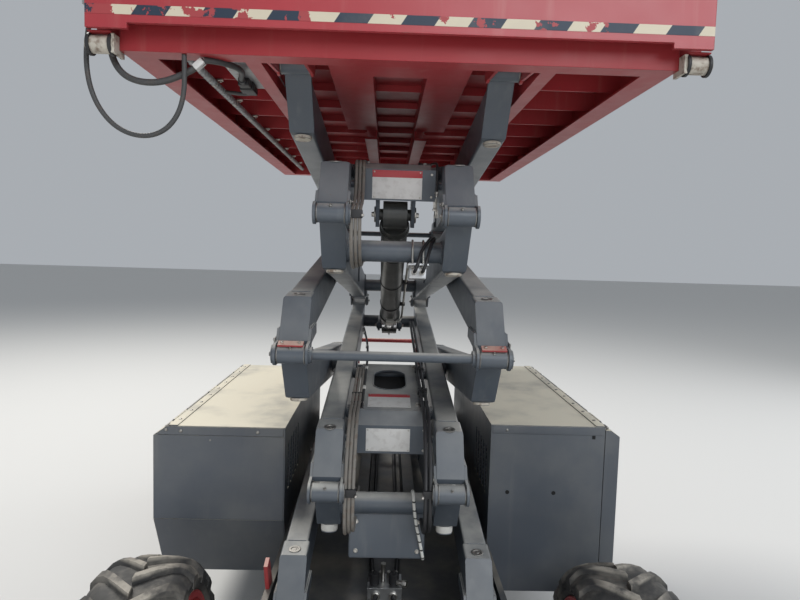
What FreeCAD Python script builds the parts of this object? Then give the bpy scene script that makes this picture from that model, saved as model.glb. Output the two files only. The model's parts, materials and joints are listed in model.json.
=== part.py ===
"""Rough-terrain scissor lift with four scissor levels, raised part way.

Frame: +X towards the roll-out deck's end, +Y to the machine's left, +Z up, ground at z = 0.
The origin is on the ground under the middle of the machine. All lengths are in millimetres.
"""
import FreeCAD, Part
import math
import os

V = FreeCAD.Vector

# Scissor stack: driving dimensions
ARM_LENGTH = 2050.0        # pin to pin
PIN_OFFSET = 80.0          # end pins sit this far above or below the tube's axis
LEVEL_RISE = 401.8         # height of one level as it stands
BASE_PIN_Z = 496.5         # fixed base pins above the ground
PIN_X = 1050.0             # plane of the fixed end pins
INNER_Y = 183.0            # middle of an inner arm
OUTER_Y = 287.5            # middle of an outer arm
TUBE_HEIGHT = 127.0
TUBE_WIDTH = 74.0
CAP_HALF = 42.0            # half width of the boxed arm end
EAR_THICKNESS = 8.0
EAR_RADIUS = 32.0
PIN_RADIUS = 19.0
PIN_HEAD_RADIUS = 27.0
PIN_HEAD = 5.0
BARREL_RADIUS = 27.0
SEAT_GAP = 0.3             # between a piece that slides and its seat
END_PLAY = 0.5             # between a barrel's end and the ear beside it
RUNNING_GAP = 0.1          # radial, pin in barrel
OPEN_PIVOT_GAP = 0.5       # radial, at the far joints where the linkage is opened
CENTRE_PIN_RADIUS = 30.0
CROSS_TUBE_RADIUS = 33.0
CROSS_TUBE_SPAN = 195.0    # cross tube behind the end pin
EDGE_ROUND = 8.0           # rounding along the tubes' edges
CROSS_BAR_RADIUS = 14.0
BUMPER_RADIUS = 25.0
BUMPER_HEIGHT = 25.0
BUMPER_WORN_HEIGHT = 9.0
BUMPER_SPAN = 188.0
ROLLER_RADIUS = 31.0
ROLLER_INNER_Y = 88.0
ROLLER_WIDTH = 38.0

# Lift cylinder
CYL_BASE_AHEAD = 104.7466  # lower eye ahead of the far cross tube
CYL_BASE_RISE = 80.0
CYL_TIP_SPAN = 330.0       # from the upper inner arm's low pin
CYL_TIP_RISE = -20.0
CYL_BARREL_RADIUS = 47.5
CYL_BORE_RADIUS = 40.0
CYL_ROD_RADIUS = 30.0
CYL_EYE_RADIUS = 45.0
CYL_EYE_HALF = 40.0
CYL_BORE_START = 118.0     # from the upper eye
CYL_MOUTH_ROOM = 85.0      # least left between the barrel's mouth and the lower eye, lowered
CYL_PISTON_ROOM = 70.0     # and between the piston and the bore's end
CYL_LENGTH_STEP = 5.0      # barrel and rod are cut to whole steps
CLEVIS_GAP = 52.0
CLEVIS_PLATE = 12.0

# Plates across the inner pairs
FLANGE_HALF = 125.0
PLATE_HALF = 109.0
PLATE_THICKNESS = 6.0
PLATE_SPAN = (290.0, 800.0)
PLATE_HOLE_SPAN = 604.0
PLATE_HOLE_REACH = 52.0
PLATE_HOLE_RADIUS = 62.0
SEAT_TUBE_RADIUS = 20.0
SEAT_TUBE_SPANS = (340.0, 760.0)
SEAT_TUBE_RISE = 118.0

# Chassis
RAIL_INNER_Y = 352.0
RAIL_OUTER_Y = 372.0
RAIL_Z = (370.0, 550.0)
RAIL_X = (-2320.0, 230.0)  # behind and ahead of the fixed pins
CROSS_FRONT_X = (120.0, 200.0)
CROSS_REAR_X = (-2300.0, -2220.0)
RAIL_WEB = 8.0
RAIL_FLANGE = 6.0
PAN_THICKNESS = 8.0
TRACK_INNER_Y = 78.0
TRACK_OUTER_Y = 128.0
TRACK_WEB = 6.0
TRACK_FLANGE = 8.0
TRACK_HALF = 33.0          # half the clear height inside a track
TRACK_X = (-2120.0, -880.0)

LUG_X = (150.0, -2315.0)    # back faces of the tie-down lugs
LUG_THICKNESS = 15.0
LUG_Y = 260.0
LUG_HOLE_Z = 335.0
LUG_HOLE_RADIUS = 20.0

# Cabinets beside the chassis
CABINET_X = (-1650.0, -450.0)
CABINET_BOTTOM_Z = 360.0
CABINET_TOP_Z = {"left": 985.0, "right": 955.0}
CABINET_OUTER_Y = 789.0
CABINET_WALL = 4.0
CABINET_CHAMFER_Z = 611.0
CABINET_CHAMFER_X = 120.0
VENT_COUNT = 5
VENT_FIRST = 90.0
VENT_PITCH = 62.0
VENT_HALF = 17.0
VENT_Z = (700.0, 880.0)
DOOR_GAP = 3.0
DOOR_DEPTH = 52.0
DOOR_CHAMFER = (32.0, 22.0) # along Y and Z, on the upper outer edge
DOOR_TOP_DROP = 14.0
HINGE_RADIUS = 6.0
HINGE_PIN_RADIUS = 3.0
HINGE_OUT = 8.0            # hinge axis outside the cabinet's wall
HINGE_DROP = 5.0           # and below its top
ENGINE_X = (-1500.0, -800.0)
ENGINE_Y = (-700.0, -420.0)
ENGINE_HEIGHT = 400.0
TANK_X = (-1560.0, -1060.0)
TANK_Y = (420.0, 700.0)
TANK_HEIGHT = 380.0

# Wheels and axles
WHEEL_RADIUS = 320.0
TYRE_WIDTH = 290.0
TRACK_HALF_WIDTH = 730.0   # middle of a tyre from the machine's centre
RIM_RADIUS = 205.0
LUG_COUNT = 17             # in each of the tread's two rows
LUG_HEIGHT = 20.0
LUG_WIDTH = (30.0, 44.0)   # at the middle and at the shoulder, round the tyre
LUG_SWEEP = 19.0           # degrees that a lug runs back on its way out
FRONT_AXLE_X = -50.0
WHEELBASE = 2000.0
KINGPIN_Y = 652.0
AXLE_Z = (280.0, 370.0)
AXLE_HALF = 45.0
SPINDLE_RADIUS = 30.0

# Platform
PLATFORM_X = (-2230.0, 210.0)
FRAME_BOTTOM_Z = 2061.0
DECK_Z = 2166.0
DECK_THICKNESS = 4.0
DECK_HALF_WIDTH = 742.0
FRAME_INSET = 64.0         # frame's side inside the deck's edge
SIDE_FLANGE = 70.0
FRAME_WALL = 6.0
BEAM_WIDTH = 60.0
INNER_RAIL_WIDTH = 40.0
RIB_PITCH = 250.0
RIB_FIRST_X = -167.0
RIB_COUNT = 8
UNDER_PANEL_Z = 2100.0     # smooth panels ahead of the upper tracks
UNDER_PANEL_Y = (78.0, 198.0)
UNDER_PLATE_X = 967.0
TOE_HEIGHT = 150.0
GUARD_TOP_Z = 3270.0
GUARD_MID_RISE = 22.0      # middle rail above halfway
GUARD_RADIUS = 19.0
GUARD_INSET = 22.0         # rails inside the deck's edge
GUARD_X = (-2200.0, 180.0)
GATE_HALF = 300.0
GATE_INSET = 25.0          # gate's posts inside the gateway
GATE_HINGE_RISE = 284.0    # lower hinge above the deck
GATE_HINGE_DROP = 120.0    # upper hinge below the top rail
EXT_GUARD_RADIUS = 16.0
EXT_GUARD_INSET = 20.0     # rails inside the extension deck's edge
EXT_GUARD_X = (-1200.0, 228.0)
CONTROL_BOX_Y = (-440.0, -180.0)
EXT_DECK_Z = 2190.0
EXT_DECK_X = (-1300.0, 250.0)
EXT_DECK_INSET = 52.0      # extension deck's edge inside the deck's
EXT_LIP_X = 215.0
PANEL_INSET = 6.0
PANEL_THICKNESS = 12.0
PANEL_Z = (2110.0, 2340.0)
PANEL_LIP_WIDTH = 96.0
PANEL_LIP_DROP = 13.0
NOSE_ROLLER_RADIUS = 21.0
NOSE_ROLLER_X = 221.0
NOSE_ROLLER_Z = 2070.0

# Worked out from the driving dimensions
LIFT_ANGLE = math.asin(LEVEL_RISE / ARM_LENGTH)
TUBE_TILT = LIFT_ANGLE - math.asin(2 * PIN_OFFSET / ARM_LENGTH)
PIN_SPAN = math.sqrt(ARM_LENGTH ** 2 - (2 * PIN_OFFSET) ** 2)
HALF_SPAN = PIN_SPAN / 2
FAR_PIN_X = PIN_X - ARM_LENGTH * math.cos(LIFT_ANGLE)
CENTRE_X = (PIN_X + FAR_PIN_X) / 2
TOP_PIN_Z = BASE_PIN_Z + 4 * LEVEL_RISE
HALF_TUBE = TUBE_HEIGHT / 2
EAR_OUTER = CAP_HALF + EAR_THICKNESS
BARREL_HALF = CAP_HALF - END_PLAY
RISING_BACK, RISING_FORWARD = 1, -1
FRAME_HALF_WIDTH = DECK_HALF_WIDTH - FRAME_INSET
GUARD_Y = DECK_HALF_WIDTH - GUARD_INSET
GUARD_MID_Z = (DECK_Z + GUARD_TOP_Z) / 2 + GUARD_MID_RISE
GATE_HINGE_Z = (DECK_Z + GATE_HINGE_RISE, GUARD_TOP_Z - GATE_HINGE_DROP)
EXT_DECK_HALF = DECK_HALF_WIDTH - EXT_DECK_INSET
EXT_GUARD_Y = EXT_DECK_HALF - EXT_GUARD_INSET
PANEL_HALF = DECK_HALF_WIDTH - PANEL_INSET
CYL_BASE_SPAN = PIN_SPAN - CROSS_TUBE_SPAN - CYL_BASE_AHEAD
CYL_CLOSED = math.hypot(CYL_BASE_SPAN - CYL_TIP_SPAN, 4 * PIN_OFFSET + CYL_TIP_RISE - CYL_BASE_RISE)


def whole_steps(length):
    return CYL_LENGTH_STEP * math.floor(length / CYL_LENGTH_STEP)


CYL_BARREL_LENGTH = whole_steps(CYL_CLOSED - CYL_EYE_RADIUS - CYL_MOUTH_ROOM)
CYL_ROD_LENGTH = whole_steps(CYL_CLOSED - CYL_BORE_START - CYL_PISTON_ROOM)

shapes = {}


def at(x):
    """A place given from the fixed pins' plane, in the row's frame."""
    return PIN_X + x


def box(xs, ys, zs):
    return Part.makeBox(xs[1] - xs[0], ys[1] - ys[0], zs[1] - zs[0], V(xs[0], ys[0], zs[0]))


def rod_y(x, z, radius, y0, y1):
    return Part.makeCylinder(radius, y1 - y0, V(x, y0, z), V(0, 1, 0))


def rod_x(y, z, radius, x0, x1):
    return Part.makeCylinder(radius, x1 - x0, V(x0, y, z), V(1, 0, 0))


def rod_z(x, y, radius, z0, z1):
    return Part.makeCylinder(radius, z1 - z0, V(x, y, z0), V(0, 0, 1))


def prism_xz(points, y0, y1):
    """An outline in the XZ plane, carried along Y."""
    corners = [V(x, y0, z) for x, z in points]
    face = Part.Face(Part.makePolygon(corners + corners[:1]))
    return face.extrude(V(0, y1 - y0, 0))


def prism_yz(points, x0, x1):
    corners = [V(x0, y, z) for y, z in points]
    face = Part.Face(Part.makePolygon(corners + corners[:1]))
    return face.extrude(V(x1 - x0, 0, 0))


def fuse(pieces):
    whole = pieces[0].multiFuse(pieces[1:]) if len(pieces) > 1 else pieces[0]
    return whole.removeSplitter()


def mirror_y(shape):
    return shape.mirror(V(0, 0, 0), V(0, 1, 0))


def both_sides(shape):
    return [shape, mirror_y(shape)]


def keep(node, pieces):
    """Store a node made of one solid, or of several that don't touch."""
    solids = []
    for piece in pieces:
        solids.extend(piece.Solids)
    shapes[node] = solids[0] if len(solids) == 1 else Part.makeCompound(solids)


# Scissor arms
# An arm is drawn level, centre pin at the origin, low end towards +X, then tilted into place.

def from_low(span, rise):
    return (HALF_SPAN - span, rise - PIN_OFFSET)


def from_high(span, rise):
    return (-HALF_SPAN + span, rise + PIN_OFFSET)


def core_outline():
    """The tube: sloped face at its low end, chamfered face and pin saddle at its high end."""
    return [
        from_low(127, PIN_OFFSET + HALF_TUBE), from_low(35, 31), from_low(35, PIN_OFFSET - HALF_TUBE),
        from_high(175, -PIN_OFFSET - HALF_TUBE), from_high(160, -PIN_OFFSET - HALF_TUBE + 4),
        from_high(31, 0), from_high(0, 0), from_high(18, 18), from_high(70, -PIN_OFFSET + HALF_TUBE),
    ]


def cap_outline():
    top, bottom = PIN_OFFSET + HALF_TUBE, PIN_OFFSET - HALF_TUBE
    return [from_low(127, top), from_low(35, 31), from_low(35, bottom),
            from_low(205, bottom), from_low(205, top)]


def ear_outline():
    """Wraps the low pin and runs back along the boxed end."""
    return [from_low(-12, 29), from_low(36, 31), from_low(62, 60), from_low(190, 48),
            from_low(190, 17), from_low(70, 17), from_low(20, -24)]


def saddle_outline():
    """Carries the high pin above the end of the tube."""
    return [from_high(60, HALF_TUBE - PIN_OFFSET - 14), from_high(31, 0), from_high(0, 0), from_high(18, 18),
            from_high(84, HALF_TUBE - PIN_OFFSET - 12)]


def cut_tube(outline, centre_y, half):
    """A tube with rounded edges, cut to an outline."""
    low, high = from_low(0, 0)[0], from_high(0, 0)[0]
    tube = box((high - 1, low + 1), (centre_y - half, centre_y + half), (-HALF_TUBE, HALF_TUBE))
    tube = tube.makeFillet(EDGE_ROUND, [edge for edge in tube.Edges if edge.Length > PIN_SPAN])
    return tube.common(prism_xz(outline, centre_y - half - 1, centre_y + half + 1))


def arm(centre_y, pin_far_joint, has_centre_pin, side_out, bumper_height):
    """One arm. side_out is +1 where the arm's free side faces +Y."""
    low_x, low_z = from_low(0, 0)
    high_x, high_z = from_high(0, 0)
    half = TUBE_WIDTH / 2
    pieces = [cut_tube(core_outline(), centre_y, half),
              cut_tube(cap_outline(), centre_y, CAP_HALF),
              prism_xz(saddle_outline(), centre_y - half, centre_y + half),
              rod_y(high_x, high_z, BARREL_RADIUS, centre_y - BARREL_HALF, centre_y + BARREL_HALF)]
    for inner in (-EAR_OUTER, CAP_HALF):
        y0, y1 = centre_y + inner, centre_y + inner + EAR_THICKNESS
        pieces.append(prism_xz(ear_outline(), y0, y1))
        pieces.append(rod_y(low_x, low_z, EAR_RADIUS, y0, y1))
    body = fuse(pieces)
    gap = OPEN_PIVOT_GAP if pin_far_joint else RUNNING_GAP
    body = body.cut(rod_y(high_x, high_z, PIN_RADIUS + gap, centre_y - EAR_OUTER, centre_y + EAR_OUTER))
    head = sorted((centre_y + side_out * EAR_OUTER, centre_y + side_out * (EAR_OUTER + PIN_HEAD)))
    extras = [rod_y(low_x, low_z, PIN_RADIUS, centre_y - EAR_OUTER, centre_y + EAR_OUTER),
              rod_y(low_x, low_z, PIN_HEAD_RADIUS, head[0], head[1])]
    bumper_x, bumper_z = from_high(BUMPER_SPAN, -PIN_OFFSET - HALF_TUBE)
    extras.append(rod_z(bumper_x, centre_y, BUMPER_RADIUS, bumper_z - bumper_height, bumper_z + 1))
    if has_centre_pin:
        inward = -1 if centre_y > 0 else 1
        reach = OUTER_Y - INNER_Y + TUBE_WIDTH / 2
        pin = sorted((centre_y, centre_y + inward * (reach + END_PLAY)))
        near, far = reach + END_PLAY, reach + END_PLAY + PIN_HEAD
        head = sorted((centre_y + inward * near, centre_y + inward * far))
        extras.append(rod_y(0, 0, CENTRE_PIN_RADIUS, pin[0], pin[1]))
        extras.append(rod_y(0, 0, CENTRE_PIN_RADIUS + 8, head[0], head[1]))
        extras.append(rod_y(0, 0, CENTRE_PIN_RADIUS + 14, centre_y - half - 5, centre_y + half + 5))
    else:
        body = body.cut(rod_y(0, 0, CENTRE_PIN_RADIUS + RUNNING_GAP, centre_y - CAP_HALF, centre_y + CAP_HALF))
    return fuse([body] + extras)


def tilt(shape, direction, level):
    """Turn a level arm into its place in the stack. Levels count from 0."""
    if direction == RISING_FORWARD:
        shape = shape.mirror(V(0, 0, 0), V(1, 0, 0))
    shape.rotate(V(0, 0, 0), V(0, 1, 0), direction * math.degrees(TUBE_TILT))
    shape.translate(V(CENTRE_X, 0, BASE_PIN_Z + (level + 0.5) * LEVEL_RISE))
    return shape


def cross_tube(span_point, half):
    x, z = span_point
    return rod_y(x, z, CROSS_TUBE_RADIUS, -half, half)


def low_roller():
    """Rollers on the inner side of the low pins, for the arm that runs in the chassis tracks."""
    x, z = from_low(0, 0)
    inner_face = INNER_Y - EAR_OUTER
    pieces = [rod_y(x, z, BARREL_RADIUS, INNER_Y - CAP_HALF, INNER_Y + CAP_HALF),
              rod_y(x, z, PIN_RADIUS, ROLLER_INNER_Y, inner_face),
              rod_y(x, z, ROLLER_RADIUS, ROLLER_INNER_Y, ROLLER_INNER_Y + ROLLER_WIDTH)]
    return pieces + [mirror_y(piece) for piece in pieces]


def high_roller():
    x, z = from_high(0, 0)
    pieces = [rod_y(x, z, PIN_RADIUS + 1, ROLLER_INNER_Y, INNER_Y + BARREL_HALF),
              rod_y(x, z, ROLLER_RADIUS, ROLLER_INNER_Y, ROLLER_INNER_Y + ROLLER_WIDTH)]
    return pieces + [mirror_y(piece) for piece in pieces]


def label_flange(low_rise, top_rise):
    """Folded plate across the low end of a pair of inner arms, carried by the cap beside it."""
    x0, z0 = from_low(256, low_rise)
    x1, z1 = from_low(250, top_rise)
    front = box((x0, x1), (-FLANGE_HALF, FLANGE_HALF), (z0, z1))
    plate_top = PIN_OFFSET + HALF_TUBE
    fold = prism_xz([from_low(250, top_rise), from_low(256, top_rise - 6), from_low(298, plate_top - PLATE_THICKNESS),
                     from_low(298, plate_top), from_low(288, plate_top)], -PLATE_HALF, PLATE_HALF)
    stay_x, stay_z = from_low(262, (low_rise + top_rise) / 2)
    stay = rod_y(stay_x, stay_z, 12, -INNER_Y, INNER_Y)
    return [front, fold, stay]


def torsion_plate():
    """Plate with an oval hole over an inner pair, on two tubes."""
    top = PIN_OFFSET + HALF_TUBE
    x0, z0 = from_low(PLATE_SPAN[1], top - PLATE_THICKNESS)
    x1, z1 = from_low(PLATE_SPAN[0], top)
    plate = box((x0, x1), (-PLATE_HALF, PLATE_HALF), (z0, z1))
    hole_x = from_low(PLATE_HOLE_SPAN, 0)[0]
    reach, radius = PLATE_HOLE_REACH, PLATE_HOLE_RADIUS
    hole = box((hole_x - reach, hole_x + reach), (-radius, radius), (z0 - 1, z1 + 1))
    for x in (hole_x - reach, hole_x + reach):
        hole = hole.fuse(rod_z(x, 0, radius, z0 - 1, z1 + 1))
    seats = []
    for span in SEAT_TUBE_SPANS:
        x, z = from_low(span, SEAT_TUBE_RISE)
        seats.append(rod_y(x, z, SEAT_TUBE_RADIUS, -INNER_Y, INNER_Y))
    return [plate.cut(hole)] + seats


def clevis_plates(outline):
    plates = []
    for side in (1, -1):
        y = sorted((side * CLEVIS_GAP, side * (CLEVIS_GAP + CLEVIS_PLATE)))
        plates.append(prism_xz(outline, y[0], y[1]))
    return plates


def tip_clevis():
    """Two ears behind the label flange, either side of the cylinder's upper eye."""
    span, rise = CYL_TIP_SPAN, CYL_TIP_RISE
    outline = [from_low(252, 100), from_low(span - 20, 138), from_low(span + 60, 138), from_low(span + 54, rise),
               from_low(span + 25, rise - 40), from_low(span - 20, rise - 40), from_low(252, 44)]
    return clevis_plates(outline)


def base_clevis():
    """Ears ahead of the far cross tube, and the pin that holds the cylinder's lower eye."""
    x, z = from_low(CYL_BASE_SPAN, CYL_BASE_RISE)
    tube_x, tube_z = from_high(CROSS_TUBE_SPAN, -PIN_OFFSET)
    reach = CLEVIS_GAP + CLEVIS_PLATE + 6
    ears = clevis_plates([(tube_x, tube_z - 30), (tube_x, tube_z + 30), (x - 4, z + 32), (x + 24, z + 22),
                          (x + 33, z), (x + 24, z - 22), (x - 4, z - 32)])
    return ears + [rod_y(x, z, PIN_RADIUS, -reach, reach)]


def shield_plate():
    """Plate hung under the cross tube of the bottom inner pair."""
    half = INNER_Y - TUBE_WIDTH / 2
    x, z = from_high(CROSS_TUBE_SPAN, -PIN_OFFSET)
    plate = box((x - 3, x + 3), (-half + 27, half - 27), (z - 172, z - 20))
    return [plate]


def arm_pair(centre_y, direction, level, far_joint_high, centre_pins, extras):
    side = 1 if centre_pins else -1
    worn = direction == RISING_FORWARD and level > 0
    left = arm(centre_y, far_joint_high, centre_pins, side, BUMPER_WORN_HEIGHT if worn else BUMPER_HEIGHT)
    pair = fuse([left, mirror_y(left)] + extras)
    return tilt(pair, direction, level)


def cross_bar():
    """Bar between the ears of an outer pair, in line with the low pins."""
    x, z = from_low(0, 0)
    reach = OUTER_Y - EAR_OUTER
    collar = [rod_y(x, z, CROSS_BAR_RADIUS + 9, side * reach - (10 if side > 0 else 0),
                    side * reach + (0 if side > 0 else 10)) for side in (1, -1)]
    return [rod_y(x, z, CROSS_BAR_RADIUS, -reach, reach)] + collar


def build_scissors():
    inner_half = INNER_Y - TUBE_WIDTH / 2
    high_tube = cross_tube(from_high(CROSS_TUBE_SPAN, -PIN_OFFSET), inner_half)
    low_tube = cross_tube(from_low(CROSS_TUBE_SPAN, PIN_OFFSET), inner_half)
    inner_extras = [
        # direction, level, high end is an opened pivot, what joins the two arms
        (RISING_FORWARD, 0, False, [high_tube, low_tube] + low_roller() + shield_plate()),
        (RISING_BACK, 1, True, [high_tube] + label_flange(8, 106) + torsion_plate() + base_clevis()),
        (RISING_FORWARD, 2, False, [high_tube, low_tube]),
        (RISING_BACK, 3, False, [high_tube] + label_flange(30, 128) + torsion_plate() + tip_clevis() + high_roller()),
    ]
    outer_rows = [
        # direction, level, high end is an opened pivot
        (RISING_BACK, 0, True),
        (RISING_FORWARD, 1, False),
        (RISING_BACK, 2, True),
        (RISING_FORWARD, 3, False),
    ]
    for direction, level, opened, extras in inner_extras:
        keep("inner_arms_%d" % (level + 1), [arm_pair(INNER_Y, direction, level, opened, False, extras)])
    for direction, level, opened in outer_rows:
        keep("outer_arms_%d" % (level + 1), [arm_pair(OUTER_Y, direction, level, opened, True, cross_bar())])


def tilted_point(point, direction, level):
    """Where a point of a level arm lies once the arm is in its place."""
    x, z = point
    x = x * direction
    angle = direction * TUBE_TILT
    return (CENTRE_X + x * math.cos(angle) + z * math.sin(angle),
            BASE_PIN_Z + (level + 0.5) * LEVEL_RISE - x * math.sin(angle) + z * math.cos(angle))


def build_cylinder():
    """Drawn along X from the upper eye, then turned into its place."""
    base = tilted_point(from_low(CYL_BASE_SPAN, CYL_BASE_RISE), RISING_BACK, 1)
    tip = tilted_point(from_low(CYL_TIP_SPAN, CYL_TIP_RISE), RISING_BACK, 3)
    length = math.hypot(tip[0] - base[0], tip[1] - base[1])
    slope = math.degrees(math.atan2(tip[1] - base[1], tip[0] - base[0]))
    mouth = CYL_BARREL_LENGTH
    barrel = fuse([rod_x(0, 0, CYL_BARREL_RADIUS, 60, mouth),
                   rod_x(0, 0, CYL_BARREL_RADIUS + 5, mouth - 70, mouth - 10),
                   rod_x(0, 0, CYL_BARREL_RADIUS + 5, CYL_BORE_START - 23, CYL_BORE_START),
                   rod_y(0, 0, CYL_EYE_RADIUS, -CYL_EYE_HALF, CYL_EYE_HALF),
                   rod_y(0, 0, PIN_RADIUS, -CLEVIS_GAP + SEAT_GAP, CLEVIS_GAP - SEAT_GAP),
                   box((0, 70), (-30, 30), (-30, 30))])
    barrel = barrel.cut(rod_x(0, 0, CYL_BORE_RADIUS, CYL_BORE_START, mouth - 20))
    barrel = barrel.cut(rod_x(0, 0, CYL_ROD_RADIUS + RUNNING_GAP, mouth - 30, mouth + 10))
    head = length - CYL_ROD_LENGTH
    rod = fuse([rod_x(0, 0, CYL_ROD_RADIUS, head, length - 30),
                rod_x(0, 0, CYL_BORE_RADIUS - RUNNING_GAP, head, head + 50),
                rod_y(length, 0, CYL_EYE_RADIUS, -CYL_EYE_HALF, CYL_EYE_HALF)])
    rod = rod.cut(rod_y(length, 0, PIN_RADIUS + RUNNING_GAP, -CYL_EYE_HALF - 5, CYL_EYE_HALF + 5))
    for node, shape in (("lift_barrel", barrel), ("lift_rod", rod)):
        shape.rotate(V(0, 0, 0), V(0, 1, 0), 180 - slope)
        shape.translate(V(tip[0], 0, tip[1]))
        keep(node, [shape])
    print("cylinder base", [round(v, 2) for v in base], "tip", [round(v, 2) for v in tip],
          "length", round(length, 2), "slope", round(slope, 3))


# Chassis

def channel_rail(xs, zs, web_y, edge_y, web, flange):
    """A channel along X, open towards edge_y."""
    out = 1 if edge_y > web_y else -1
    web_box = box(xs, sorted((web_y, web_y + out * web)), zs)
    low = box(xs, sorted((web_y, edge_y)), (zs[0], zs[0] + flange))
    high = box(xs, sorted((web_y, edge_y)), (zs[1] - flange, zs[1]))
    return [web_box, low, high]


def tracks(pin_z, xs):
    """The two channels that the sliding ends' rollers run in."""
    outer = TRACK_HALF + TRACK_FLANGE
    pieces = channel_rail(xs, (pin_z - outer, pin_z + outer), TRACK_INNER_Y, TRACK_OUTER_Y,
                          TRACK_WEB, TRACK_FLANGE)
    return pieces + [mirror_y(piece) for piece in pieces]


def build_chassis():
    xs = (at(RAIL_X[0]), at(RAIL_X[1]))
    rails = channel_rail(xs, RAIL_Z, RAIL_INNER_Y, RAIL_OUTER_Y, RAIL_WEB, RAIL_FLANGE)
    pieces = rails + [mirror_y(piece) for piece in rails]
    inside = (-RAIL_INNER_Y, RAIL_INNER_Y)
    pan_top = RAIL_Z[0] + PAN_THICKNESS
    pieces.append(box(xs, inside, (RAIL_Z[0], pan_top)))
    for cross in (CROSS_FRONT_X, CROSS_REAR_X):
        pieces.append(box((at(cross[0]), at(cross[1])), inside, RAIL_Z))
    track_xs = (at(TRACK_X[0]), at(TRACK_X[1]))
    pieces += tracks(BASE_PIN_Z, track_xs)
    stool = box(track_xs, (TRACK_INNER_Y, TRACK_OUTER_Y - 4),
                (RAIL_Z[0], BASE_PIN_Z - TRACK_HALF - TRACK_FLANGE + 1))
    pieces += both_sides(stool)
    pedestal = box((at(-28), at(28)), (OUTER_Y - 36, OUTER_Y + 36), (RAIL_Z[0], BASE_PIN_Z))
    barrel = rod_y(PIN_X, BASE_PIN_Z, BARREL_RADIUS, OUTER_Y - BARREL_HALF, OUTER_Y + BARREL_HALF)
    pieces += both_sides(pedestal) + both_sides(barrel)
    for x in LUG_X:
        lug = box((at(x), at(x) + LUG_THICKNESS), (LUG_Y - 35, LUG_Y + 35), (LUG_HOLE_Z - 35, RAIL_Z[0] + 1))
        pieces += both_sides(lug)
    frame = fuse(pieces)
    bore = rod_y(PIN_X, BASE_PIN_Z, PIN_RADIUS + RUNNING_GAP, OUTER_Y - EAR_OUTER, OUTER_Y + EAR_OUTER)
    frame = frame.cut(bore).cut(mirror_y(bore))
    for x in LUG_X:
        hole = rod_x(LUG_Y, LUG_HOLE_Z, LUG_HOLE_RADIUS, at(x) - 1, at(x) + LUG_THICKNESS + 1)
        frame = frame.cut(hole).cut(mirror_y(hole))
    keep("chassis_frame", [frame])
    keep("valve_block", [box((at(-420), at(-320)), (-60, 60), (pan_top, pan_top + 55))])
    prop = prism_xz([(at(-150), RAIL_Z[1]), (at(-95), RAIL_Z[1]), (at(-60), 640), (at(-95), 652)],
                    -RAIL_OUTER_Y + 2, -RAIL_OUTER_Y + 14)
    keep("safety_prop", [prop])


def build_ladder():
    back, front = at(-2362), at(-2332)
    stile = box((back, front), (185, 215), (330, 1050))
    pieces = both_sides(stile)
    for z in (400, 610, 820, 1010):
        pieces.append(rod_y((back + front) / 2, z, 13, -190, 190))
    for z in (400, 520):
        pieces += both_sides(box((front - 1, at(CROSS_REAR_X[0])), (187, 213), (z - 15, z + 15)))
    keep("ladder", [fuse(pieces)])


def cabinet_outline(chamfered, z1):
    x0, x1 = at(CABINET_X[0]), at(CABINET_X[1])
    z0 = CABINET_BOTTOM_Z
    if not chamfered:
        return [(x0, z0), (x1, z0), (x1, z1), (x0, z1)]
    return [(x0, z0), (x1 - CABINET_CHAMFER_X, z0), (x1, CABINET_CHAMFER_Z), (x1, z1), (x0, z1)]


def inset(points, distance):
    """The outline moved inwards by a distance."""
    corners = [V(x, 0, z) for x, z in points]
    wire = Part.makePolygon(corners + corners[:1])
    smaller = wire.makeOffset2D(-distance)
    if Part.Face(smaller).Area > Part.Face(wire).Area:
        smaller = wire.makeOffset2D(distance)
    return [(v.Point.x, v.Point.z) for v in smaller.OrderedVertexes]


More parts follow.
